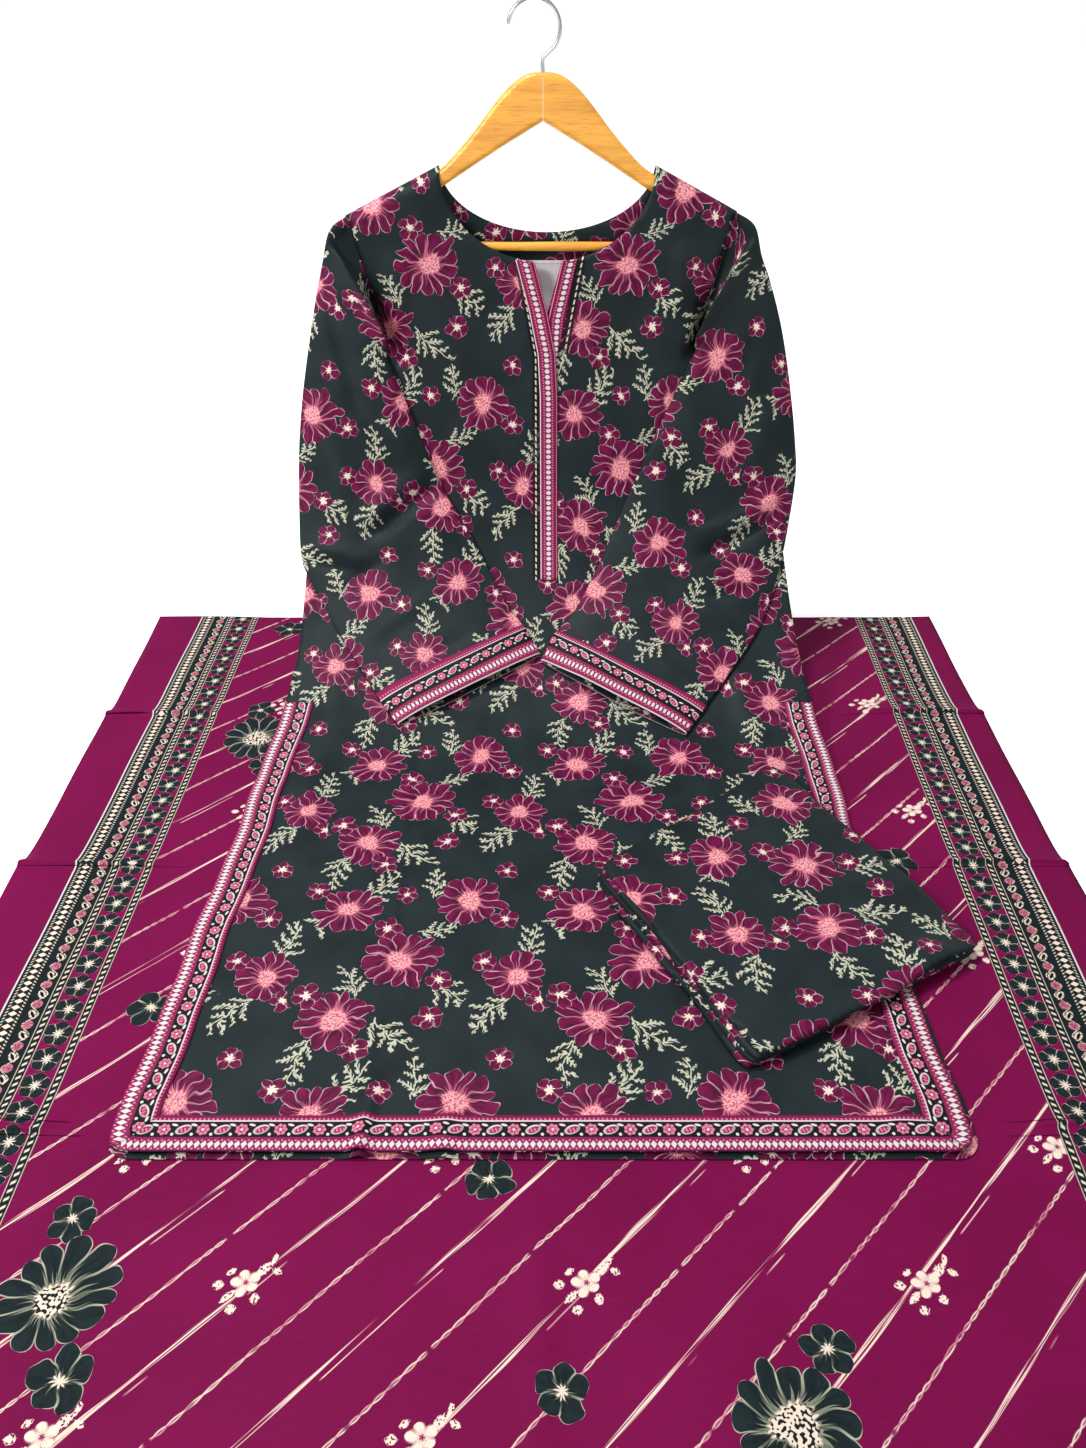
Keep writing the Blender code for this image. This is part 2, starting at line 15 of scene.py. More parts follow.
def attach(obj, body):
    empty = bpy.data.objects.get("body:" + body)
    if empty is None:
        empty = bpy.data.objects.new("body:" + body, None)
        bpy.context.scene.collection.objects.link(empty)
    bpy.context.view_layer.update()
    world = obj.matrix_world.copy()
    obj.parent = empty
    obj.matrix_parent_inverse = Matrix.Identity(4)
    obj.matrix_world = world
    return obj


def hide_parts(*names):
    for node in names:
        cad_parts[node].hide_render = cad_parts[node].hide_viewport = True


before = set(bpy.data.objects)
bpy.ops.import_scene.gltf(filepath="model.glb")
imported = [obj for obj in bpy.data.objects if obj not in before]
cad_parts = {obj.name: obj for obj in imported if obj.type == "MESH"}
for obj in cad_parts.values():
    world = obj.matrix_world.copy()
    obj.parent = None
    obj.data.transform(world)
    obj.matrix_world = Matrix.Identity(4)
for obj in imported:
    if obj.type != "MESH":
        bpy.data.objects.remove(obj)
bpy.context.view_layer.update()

# ---- places and thicknesses, as in the part ----
CROWN_HEIGHT = 0.6418
CROWN_X = -0.008
HOOK_RADIUS = 0.0235
WIRE_RADIUS = 0.0017
HANGER_THICKNESS = 0.011
BAR_RADIUS = 0.0045
BAR_HEIGHT = 0.4355
BAR_HALF = 0.1595
SEAM_GAP = 0.0003
WALL = 0.0012                  # the room each layer of cloth takes
TRIM_WALL = 0.001
LABEL_WALL = 0.0005
LAYER_GAP = 0.0004
HALF_GAP = 0.00015
SLEEVE_REST = 0.0012
FABRIC = 0.0007                # the cloth itself

# ---- the way the kameez falls ----
LEAN = math.radians(11.8)
EASE_RADIUS = 0.25
BEND_RADIUS = 0.28
MIDDLE_HEIGHT = 3 * WALL + 2 * LAYER_GAP + HALF_GAP
FALL = (
    # length, radius (0 where straight)
    (0.075, 0.0),
    (EASE_RADIUS * LEAN, EASE_RADIUS),
    (0.155, 0.0),
    (BEND_RADIUS * (math.pi / 2 - LEAN), BEND_RADIUS),
    (9.000, 0.0),
)
BEND_END = sum(length for length, _ in FALL[:4])

# ---- the kameez's cut ----
NECK_HALF = 0.104
NECK_MIDDLE = 0.004
FRONT_NECK_DEPTH = 0.083
BACK_NECK_DEPTH = 0.058
SLIT_DEPTH = 0.134
SLIT_LEFT = 0.013              # the open slit's reach each way from the middle, at the neckline
SLIT_RIGHT = 0.015
SLIT_START = 0.08              # the trims beside the slit start here, and are cut to the neckline
PLACKET_END = 0.411
UNDER_END = 0.205              # the placket's under side ends here
PLACKET_WIDTH = 0.0185
BORDER_WIDTH = 0.03
LENGTH = 1.08
BACK_EXTRA = 0.0025
BACK_SKEW = 0.004
HEM_CURL = 0.0035              # how far the front's hem turns up,
CURL_LENGTH = 0.012            # over this last length of the cloth
PUCKER_ROOM = 0.0045           # the back follows a pucker of the front up to this height
SHOULDER_SEAM_LIFT = 0.003
HANGER_ROOM = 0.0072
ROOM_FULL = 0.088
ROOM_GONE = 0.205
ROOM_EDGE = 0.012
CORNER_RADIUS = 0.018
SIDES = np.array((
    # s,    left,   right
    (0.285, 0.248, 0.250),     # under the arms
    (0.400, 0.259, 0.266),
    (0.500, 0.265, 0.277),
    (0.556, 0.272, 0.284),     # top of the side slits
    (0.640, 0.282, 0.291),
    (0.790, 0.287, 0.288),
    (0.930, 0.294, 0.292),
    (1.055, 0.300, 0.297),     # start of the round lower corners
))
SLIT_TOP = SIDES[3][0]
LEFT_ARMHOLE = ((-0.194, 0.0415), (-0.164, 0.166), (-0.196, 0.25))
RIGHT_ARMHOLE = ((0.19, 0.0375), (0.162, 0.161), (0.196, 0.25))

LEFT_SLEEVE = np.array((
    # outer x, outer s, inner x, inner s in mm, from the armhole to the cuff
    (-198.5, 41.5, -165.5, 166),
    (-210, 54, -161.5, 176),
    (-220.5, 85, -154.5, 193),
    (-230, 118, -147, 213),
    (-242, 168, -138, 237),
    (-253, 221, -126, 268),
    (-261, 276, -112, 306),
    (-264.5, 330, -95, 335),
    (-264, 383, -78, 364),
    (-256, 408, -62, 395),
    (-238, 442, -47, 424),
    (-217, 480, -34, 446),
    (-172, 553, -21, 466),
    (-149, 587, -4, 498),
)) / 1000
RIGHT_SLEEVE = np.array((
    # as for the left sleeve
    (194.5, 37.5, 163.5, 161),
    (208, 50, 158, 170),
    (218, 78, 150, 186),
    (230, 105, 142, 204),
    (245, 150, 133, 224),
    (258, 205, 117, 260),
    (268, 260, 103, 295),
    (272, 300, 89, 327),
    (266, 358, 76, 360),
    (256, 405, 63, 390),
    (237, 459, 49, 420),
    (213, 500, 35, 446),
    (167, 568, 14, 473),
    (146, 600, -1, 506),
)) / 1000
SLEEVE_PUFF = 0.007            # how far a sleeve's upper side swells at its middle
SLEEVE_FOLD = 0.0052           # thickness of a flattened sleeve at its folded edges
SLEEVE_GRAIN = math.radians(15)
FOLD_LEAN = 0.009              # how far the fold over the armhole leans towards the body
FOLD_REACH = 0.045             # the fold takes up cloth within this distance of the armhole
CUFF_LENGTH = 0.042
SEAM_LAP = 0.006               # the sleeve head laps this far over the armhole seam
SEAMED_SHARE = 0.08            # the share of a sleeve's height that is left at the seam
CREST_PLACE = 0.019            # where the fold's crest crosses the middle of the sleeve
CREST_SLANT = 0.006            # how much further down it is at the sleeve's outer edge
CREST_WIDTH = 0.005
CREST_HEIGHT = 0.85            # as a share of the sleeve's own height
LEAST_PUFF = 0.003             # creases don't press a sleeve's upper side lower than this
UNDER_SIDE_LIFT = 0.0004
CUFF_REACH = 0.0011            # a cuff stands this far off the sleeve
CUFF_ROWS = 23                 # rows of the sleeve's smooth line that the cuff covers, out of SLEEVE_ROWS
SLEEVE_ROWS = 261
HIDDEN_SHIFT = 0.11            # how far the print of an under side is moved along from the upper side's

TROUSER_CORNERS = np.array((
    # x, y on the table in mm
    (43, -457),
    (226, -306),
    (284, -404),
    (355, -548),
    (150, -665),
)) / 1000
TROUSER_BASE = 0.0085
FOLDED_ROOM = 0.0034           # the room each layer folded between the legs takes
TROUSER_GRAIN = math.radians(40)

DUPATTA = np.array((
    # y,     left,  right
    (0.018, 0.472, 0.476),
    (-0.190, 0.466, 0.470),
    (-0.193, 0.471, 0.475),
    (-0.430, 0.466, 0.468),
    (-0.433, 0.472, 0.473),
    (-0.703, 0.465, 0.469),
    (-0.706, 0.471, 0.474),
    (-1.140, 0.469, 0.473),
))
COVERED_HALF = 0.325           # the shawl is pressed flat under the kameez to this far from the middle,
COVERED_NEAR = -0.745          # and to this y towards the near end
PRESSED_FOLDS = ((-0.192, 0.0045), (-0.432, 0.0042), (-0.705, 0.0048), (-0.93, 0.0026))    # y, height

ARM = np.array((
    # x, top, bottom in mm
    (0, 585.5, 546),
    (10, 585, 540.5),
    (19, 582, 535.5),
    (29, 575.5, 530),
    (39, 566.5, 524.5),
    (50, 554.5, 518),
    (62, 540.5, 511),
    (78, 523.5, 501.5),
    (100, 504, 488.5),
    (130, 490, 472.5),
    (159, 477, 458),
)) / 1000
ARM_TIP = ((0.179, 0.4665), (0.1815, 0.448), (0.177, 0.427), (0.16, 0.4245))
LABEL = (-0.02, 0.028, 0.084, 0.136)   # x from, x to, s from, s to

# ---- the photograph's view and the room ----
CAMERA_PLACE = (0.008, -1.1789, 0.0382)
CAMERA_TILT = math.radians(55.0)        # up from straight down
SENSOR = 36.0
LENS_SHARE = 1110.0 / 1448.0            # focal length over the picture's longer side
ROOM_LIGHT = 0.6
TABLE_GLOW = 0.45
LIGHTS = (
    # name, energy, size, location, aim
    ("key", 46.0, 0.35, (-0.7, -0.25, 1.9), (0.0, -0.4, -0.5)),
    ("fill", 36.0, 0.4, (-1.5, -1.4, 1.0), (0.0, -0.1, 0.1)),
)

# ---- creases: from one point to another on the cloth, positive for a ridge ----
STEEP_SIDE = 0.62              # width of a crease's steeper side, as a share of its other side's
CREASE_FADE = 0.3              # share of its length over which a crease fades at each end
CREASE_START = 0.12            # what is left of the fade at its very end
BODY_CREASES = np.array((
    # x, s, x, s, height, width in mm
    (-199, 35, -166, 150, -1.6, 9),
    (-183, 100, -154, 188, -20, 13),
    (-150, 66, -146, 150, 3, 12),
    (192, 30, 166, 150, -1, 9),
    (175, 108, 153, 184, -18, 13),
    (140, 60, 136, 140, 3, 12),
    (-129, 590, -120, 800, -1, 5),
    (-120, 790, -118, 960, -1.2, 5),
    (-118, 940, -128, 1070, -1, 5),
    (157, 600, 146, 720, -1, 4.5),
    (10, 677, 115, 677, -0.8, 4.5),
    (-126, 1100, -121, 1010, 5.2, 7),
    (-68, 1100, -66, 1030, 2.4, 11),
    (-216, 420, -236, 800, 4.2, 22),
    (205, 470, 228, 720, 4, 20),
    (-60, 520, -75, 830, 2.2, 28),
    (48, 480, 40, 700, 1.8, 26),
    (-175, 640, -205, 900, 1.6, 15),
    (-10, 900, 50, 1060, 1.4, 24),
    (240, 960, 255, 1090, 1.6, 16),
)) / 1000
SLEEVE_CREASES = np.array((
    # as for the body
    (-196, 372, -92, 292, -9.5, 8.5),
    (-200, 352, -110, 278, 5, 12),
    (-270, 388, -170, 415, -5, 8),
    (-262, 372, -180, 392, 3.5, 10),
    (-235, 446, -165, 380, -3.2, 8),
    (-208, 500, -120, 430, 3, 12),
    (-150, 540, -75, 470, -2.2, 9),
    (-245, 200, -200, 330, 3, 14),
    (-222, 120, -190, 240, -3, 10),
    (275, 330, 160, 392, -8.5, 8.5),
    (270, 312, 150, 372, 4.5, 12),
    (252, 415, 150, 440, -3.8, 8),
    (215, 470, 130, 420, 3, 11),
    (180, 545, 100, 460, -2.4, 9),
    (250, 190, 210, 320, 3.2, 14),
    (228, 100, 195, 230, -3, 10),
)) / 1000


# ---- the cloth's form ----

def walk(s):
    """Forward reach, drop and turn of the kameez's middle plane after s metres of cloth."""
    reach = drop = turn = 0.0
    for length, radius in FALL:
        step = min(s, length)
        if radius == 0.0:
            reach += math.sin(turn) * step
            drop += math.cos(turn) * step
        else:
            after = turn + step / radius
            reach += radius * (math.cos(turn) - math.cos(after))
            drop += radius * (math.sin(after) - math.sin(turn))
            turn = after
        s -= step
    return reach, drop, turn


STATIONS = np.arange(0.0, LENGTH + 0.05, 0.001)
WALKED = np.array([walk(s) for s in STATIONS])
SHOULDER_HEIGHT = MIDDLE_HEIGHT + walk(BEND_END)[1]


def on_table(x, y, z):
    """From widths from the hanger's middle, and heights above the table top, to the part's frame."""
    return np.column_stack((x - CROWN_X, y, z - CROWN_HEIGHT))


def place(x, s, lift):
    """Points in the part's frame for places on the hanging cloth."""
    reach = np.interp(s, STATIONS, WALKED[:, 0])
    drop = np.interp(s, STATIONS, WALKED[:, 1]) + np.minimum(s, 0.0)
    turn = np.interp(s, STATIONS, WALKED[:, 2])
    return on_table(x, -reach - lift * np.cos(turn), SHOULDER_HEIGHT - drop + lift * np.sin(turn))


def smooth(value):
    """Soft step from 0 to 1."""
    value = np.clip(value, 0.0, 1.0)
    return value * value * (3.0 - 2.0 * value)


def turned(x, y, angle):
    """Coordinates in axes turned through an angle, for numbers and for values in a material."""
    if isinstance(angle, Wire):
        c, n = calc("COSINE", angle), calc("SINE", angle)
    else:
        c, n = math.cos(angle), math.sin(angle)
    return x * c + y * n, y * c - x * n


def side(s, column):
    """Reach of the kameez's side edge at s: column 1 is the left side and 2 the right."""
    return np.interp(s, SIDES[:, 0], SIDES[:, column])


def seam_depth(x, s):
    """Distance inside the nearest shoulder or armhole seam line."""
    lines = (
        ((NECK_MIDDLE - NECK_HALF, -SHOULDER_SEAM_LIFT), LEFT_ARMHOLE[0], -1.0),
        ((NECK_MIDDLE + NECK_HALF, -SHOULDER_SEAM_LIFT), RIGHT_ARMHOLE[0], 1.0),
        (LEFT_ARMHOLE[0], LEFT_ARMHOLE[1], -1.0),
        (RIGHT_ARMHOLE[0], RIGHT_ARMHOLE[1], 1.0),
    )
    depths = []
    for (ax, a_s), (bx, b_s), turn in lines:
        cross = (bx - ax) * (s - a_s) - (b_s - a_s) * (x - ax)
        depths.append(turn * cross / math.hypot(bx - ax, b_s - a_s))
    return np.minimum.reduce(depths)


def half_room(x, s):
    """Half the space between the front and back panels."""
    grown = np.clip(seam_depth(x, s) / ROOM_EDGE, 0.0, 1.0)
    round_top = np.sqrt(1.0 - (1.0 - grown) ** 2)
    down = 1.0 - smooth((s - ROOM_FULL) / (ROOM_GONE - ROOM_FULL))
    return HALF_GAP + HANGER_ROOM * round_top * down


def creases(table, x, s):
    """Sum of soft ridges and troughs, each steeper on one side and fading at its ends."""
    total = np.zeros_like(x)
    for ax, a_s, bx, b_s, height, width in table:
        length = math.hypot(bx - ax, b_s - a_s)
        along = ((x - ax) * (bx - ax) + (s - a_s) * (b_s - a_s)) / length ** 2
        across = ((x - ax) * (b_s - a_s) - (s - a_s) * (bx - ax)) / length
        across = across + 0.12 * width * np.sin(along * 9.0)    # a crease is never quite straight
        spread = np.where(across < 0.0, STEEP_SIDE * width, width)
        fade = smooth(along / CREASE_FADE + CREASE_START)
        fade = fade * smooth((1.0 - along) / CREASE_FADE + CREASE_START)
        total += height * np.exp(-(across / spread) ** 2) * fade
    return total


def drape(x, s):
    """Lift that every layer of the kameez shares where it is creased."""
    return creases(BODY_CREASES, x, s)


def front_lift(x, s):
    curl = HEM_CURL * smooth((s - LENGTH + CURL_LENGTH) / 0.011)
    return half_room(x, s) + WALL / 2 + drape(x, s) + curl


def back_lift(x, s):
    return np.minimum(drape(x, s), PUCKER_ROOM) - half_room(x, s) - WALL / 2


def trim_lift(x, s):
    return front_lift(x, s) + WALL / 2 + SEAM_GAP + TRIM_WALL / 2


def spline(points, count):
    """Smooth line through the points, each row's columns followed together (Catmull-Rom)."""
    points = np.asarray(points, dtype=float)
    padded = np.vstack((2 * points[0] - points[1], points, 2 * points[-1] - points[-2]))
    at = np.linspace(0.0, len(points) - 1.0, count)
    index = np.minimum(at.astype(int), len(points) - 2)
    t = (at - index)[:, None]
    a, b, c, d = (padded[index + k] for k in range(4))
    square = 2 * a - 5 * b + 4 * c - d
    cube = 3 * b - a - 3 * c + d
    return 0.5 * (2 * b + (c - a) * t + square * t ** 2 + cube * t ** 3)


# ---- meshes ----

def resample(outline, spacing):
    """Points at equal steps along each side of a closed outline."""
    points = []
    for (ax, ay), (bx, by) in zip(outline, [*outline[1:], outline[0]]):
        steps = max(1, round(math.hypot(bx - ax, by - ay) / spacing))
        for step in range(steps):
            share = step / steps
            points.append((ax + (bx - ax) * share, ay + (by - ay) * share))
    return points


def inside(points, outline):
    """Which points lie inside a closed outline."""
    found = np.zeros(len(points), dtype=bool)
    x, y = points[:, 0], points[:, 1]
    for (ax, ay), (bx, by) in zip(outline, [*outline[1:], outline[0]]):
        if ay == by:
            continue
        crosses = (ay > y) != (by > y)
        found ^= crosses & (x < ax + (y - ay) * (bx - ax) / (by - ay))
    return found


def distance_inside(points, outline, spacing=0.0008):
    """Distance of each point from a closed outline."""
    edge = resample(outline, spacing)
    tree = kdtree.KDTree(len(edge))
    for index, (x, y) in enumerate(edge):
        tree.insert((x, y, 0.0), index)
    tree.balance()
    return np.array([tree.find((x, y, 0.0))[2] for x, y in points])


def fill(outline, spacing):
    """Even triangles over a closed outline, as points and faces, the outline's own points first."""
    edge = resample([tuple(point) for point in outline], spacing)
    low = np.min(edge, axis=0)
    high = np.max(edge, axis=0)
    rise = spacing * math.sqrt(3) / 2
    grid = []
    for row in range(int((high[1] - low[1]) / rise) + 1):
        start = low[0] + (row % 2) * spacing / 2
        columns = np.arange(start, high[0], spacing)
        grid.append(np.column_stack((columns, np.full_like(columns, low[1] + row * rise))))
    grid = np.vstack(grid)
    grid = grid[inside(grid, edge)]
    grid = grid[distance_inside(grid, edge, spacing / 2) > 0.6 * spacing]
    coords = [Vector(point) for point in [*edge, *grid.tolist()]]
    rim = [(k, (k + 1) % len(edge)) for k in range(len(edge))]
    made = geometry.delaunay_2d_cdt(coords, rim, [], 1, 1e-7)
    return np.array([tuple(v) for v in made[0]]), [tuple(face) for face in made[2]]


def flipped(faces):
    """The same faces, seen from the other side."""
    return [face[::-1] for face in faces]


def add_object(name, data):
    made = bpy.data.objects.new(name, data)
    bpy.context.collection.objects.link(made)
    return made


def tell_frame(piece, node):
    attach(piece, "root")
    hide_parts(node)


def cloth_piece(name, points, faces, uv, mat, node, wall=FABRIC):
    """One named piece of cloth; uv is in metres on the printed fabric."""
    mesh = bpy.data.meshes.new(name)
    mesh.from_pydata(points.tolist(), [], faces)
    layer = mesh.uv_layers.new(name="Fabric")
    corners = np.empty(len(mesh.loops), dtype=np.int32)
    mesh.loops.foreach_get("vertex_index", corners)
    layer.data.foreach_set("uv", np.asarray(uv, dtype=np.float32)[corners].ravel())
    mesh.shade_smooth()
    mesh.materials.append(mat)
    piece = add_object(name, mesh)
    if wall:
        thick = piece.modifiers.new("Cloth wall", "SOLIDIFY")
        thick.thickness = wall
        thick.offset = 0.0
    tell_frame(piece, node)
    return piece


def grid_faces(rows, columns):
    """Four-sided faces over points given row by row."""
    faces = []
    for row in range(rows - 1):
        for column in range(columns - 1):
            first = row * columns + column
            faces.append((first, first + 1, first + columns + 1, first + columns))
    return faces


def hang(name, node, outline, spacing, seat, print_at, mat, wall=FABRIC):
    """A piece cut to an outline; seat gives its points from x and s, and print_at its uv."""
    flat, faces = fill(outline, spacing)
    piece = cloth_piece(name, seat(*flat.T), flipped(faces), print_at(flat), mat, node, wall)


def open_edges(faces):
    """Directed edges that only one face uses."""
    directed = {(a, b) for face in faces for a, b in zip(face, (*face[1:], face[0]))}
    return [(a, b) for a, b in sorted(directed) if (b, a) not in directed]


# ---- the kameez ----

def neck(depth, x):
    """How far down the cloth a neckline is at x."""
    across = np.clip((x - NECK_MIDDLE) / NECK_HALF, -1.0, 1.0)
    round_off = np.sqrt(1.0 - across ** 2)
    return depth * round_off - SHOULDER_SEAM_LIFT * (1.0 - round_off)


def neck_points(depth, steps=60):
    """A neckline's points from left to right."""
    x = NECK_MIDDLE - NECK_HALF * np.cos(np.linspace(0.0, math.pi, steps))
    return list(zip(x.tolist(), neck(depth, x).tolist()))


def wobble(s):
    """The hand-sewn side edges aren't ruler straight."""
    return 0.0011 * np.sin(s * 31.0) + 0.0008 * np.sin(s * 73.0 + 1.0)


def side_edge(sign, column, start, end):
    """Points down one side of the kameez, loose and wobbly along the slit."""
    s = np.linspace(start, end, 40)
    loose = smooth((s - SLIT_TOP) / 0.05) * smooth((SIDES[-1][0] - s) / 0.03)
    x = side(s, column) + wobble(s) * loose
    return list(zip((sign * x).tolist(), s.tolist()))


def corner(sign, column, length, steps=10):
    """Points round one lower corner."""
    reach = side(SIDES[-1][0], column)
    turn = np.linspace(0.0, math.pi / 2, steps)
    x = reach - CORNER_RADIUS + CORNER_RADIUS * np.cos(turn)
    s = length - CORNER_RADIUS + CORNER_RADIUS * np.sin(turn)
    return list(zip((sign * x).tolist(), s.tolist()))


def panel_outline(top, length):
    """Outline of the kameez's front or back: neck, right side, hem, left side."""
    start, end = SIDES[0][0], SIDES[-1][0]
    right = [*RIGHT_ARMHOLE, *side_edge(1.0, 2, start, end), *corner(1.0, 2, length)]
    left = [*LEFT_ARMHOLE, *side_edge(-1.0, 1, start, end), *corner(-1.0, 1, length)]
    return [*top, *right, *reversed(left)]


def slit_neck():
    """Front neckline with the open slit at its middle."""
    line = neck_points(FRONT_NECK_DEPTH)
    clear = 0.001
    left = [p for p in line if p[0] < NECK_MIDDLE - SLIT_LEFT - clear]
    right = [p for p in line if p[0] > NECK_MIDDLE + SLIT_RIGHT + clear]
    slit = ((NECK_MIDDLE - SLIT_LEFT, 0.0825), (NECK_MIDDLE, SLIT_DEPTH), (NECK_MIDDLE + SLIT_RIGHT, 0.0822))
    return [*left, *slit, *right]


def make_panels(front_cloth, cloth):
    def front_seat(x, s):
        return place(x, s, front_lift(x, s))

    def back_seat(x, s):
        skew = np.where(x > 0.1, BACK_SKEW * smooth((s - 0.8) / 0.2), 0.0)
        return place(x + skew, s, back_lift(x, s))

    hang("printed_front", "kameez_front", panel_outline(slit_neck(), LENGTH), 0.0043,
         front_seat, lambda flat: flat, front_cloth)
    hang("printed_back", "kameez_back", panel_outline(neck_points(BACK_NECK_DEPTH), LENGTH + BACK_EXTRA),
         0.006, back_seat, lambda flat: flat * (-1.0, 1.0) + (0.07, 0.05), cloth)


def make_hem_borders(trim):
    panel = panel_outline(neck_points(FRONT_NECK_DEPTH), LENGTH)
    bottom = SIDES[-1][0]
    mitre = SEAM_GAP * 1.5
    for side_name, sign, column in (("left", -1.0, 1), ("right", 1.0, 2)):
        outer = side_edge(sign, column, SLIT_TOP, bottom)
        inner = [(x - sign * BORDER_WIDTH, s) for x, s in outer]
        inner[-1] = (inner[-1][0], LENGTH - BORDER_WIDTH)
        outline = [*outer, *corner(sign, column, LENGTH)[:6], *reversed(inner)]
        strip("border_side_" + side_name, "side_border_" + side_name, outline, panel, 1, trim)
    left = [(x + mitre, s) for x, s in corner(-1.0, 1, LENGTH)[5:]]
    right = [(x - mitre, s) for x, s in reversed(corner(1.0, 2, LENGTH)[5:])]
    inner_left = -(side(bottom, 1) - BORDER_WIDTH) + mitre
    inner_right = side(bottom, 2) - BORDER_WIDTH - mitre
    outline = [*left, *right, (inner_right, LENGTH - BORDER_WIDTH), (inner_left, LENGTH - BORDER_WIDTH)]
    strip("border_hem", "hem_border", outline, panel, 0, trim)


def strip(name, node, outline, panel, run, trim):
    """A border on the front; its print runs along x (0) or s (1) and across from the panel's edge."""
    hang(name, node, outline, 0.004, lambda x, s: place(x, s, trim_lift(x, s)),
         lambda flat: np.column_stack((flat[:, run], distance_inside(flat, panel))),
         trim)


def make_placket(name, node, left, right, lap, flip, trim):
    """Trim down the neck opening between two edges, each given as x from the neck's middle at s."""
    columns, rows = 9, 90
    share = np.linspace(0.0, 1.0, columns)
    end = left[-1][1]
    s = np.repeat(np.linspace(left[0][1], end, rows), columns)
    x_left = NECK_MIDDLE + np.interp(s, *np.array(left).T[::-1])
    x_right = NECK_MIDDLE + np.interp(s, *np.array(right).T[::-1])
    x = x_left + (x_right - x_left) * np.tile(share, rows)
    s = np.maximum(s, neck(FRONT_NECK_DEPTH, x))
    lift = trim_lift(x, s) + lap * (TRIM_WALL + SEAM_GAP) * (1.0 - smooth((s - 0.22) / 0.04))
    across = x - x_left if flip else x_right - x
    piece = cloth_piece(name, place(x, s, lift), flipped(grid_faces(rows, columns)),
                        np.column_stack((s, across)), trim, node)
    float(end - s[0])


def make_neck_trims(trim):
    """The two sides of the placket; the one over the other runs on down."""
    edge = ((-SLIT_LEFT, SLIT_START), (0.0003, 0.131), (0.009, 0.173), (0.0112, 0.215), (0.012, PLACKET_END))
    far = [(x - PLACKET_WIDTH, s) for x, s in edge]
    make_placket("placket_over", "placket_left", far, edge, 1.0, False, trim)
    left = ((SLIT_RIGHT, SLIT_START), (0.0012, 0.138), (-0.003, UNDER_END))
    right = ((0.03, SLIT_START), (0.02, 0.13), (0.011, 0.174), (0.006, UNDER_END))
    make_placket("placket_under", "placket_right", left, right, 0.0, True, trim)


def make_label(label):
    x_from, x_to, s_from, s_to = LABEL
    outline = ((x_from, s_from), (x_to, s_from), (x_to, s_to), (x_from, s_to))
    hang("woven_label", "neck_label", outline, 0.003,
         lambda x, s: place(x, s, -half_room(x, s) + SEAM_GAP + TRIM_WALL / 2),
         lambda flat: flat, label, LABEL_WALL)


# ---- sleeves ----

def sleeve_head(along, across):
    """Share of a sleeve's height by its armhole, low at the seam, and the crest of the fold over it."""
    from_crest = along[:, None] - CREST_PLACE + CREST_SLANT * across
    outer_edge = 1.0 - smooth((across + 1.0) / 0.22)
    raised = np.maximum(smooth((from_crest + 0.007) / 0.006), outer_edge)
    crest = np.exp(-(from_crest / CREST_WIDTH) ** 2) * smooth((1.0 - np.abs(across)) / 0.3)
    return SEAMED_SHARE + (1.0 - SEAMED_SHARE) * raised + CREST_HEIGHT * crest, crest


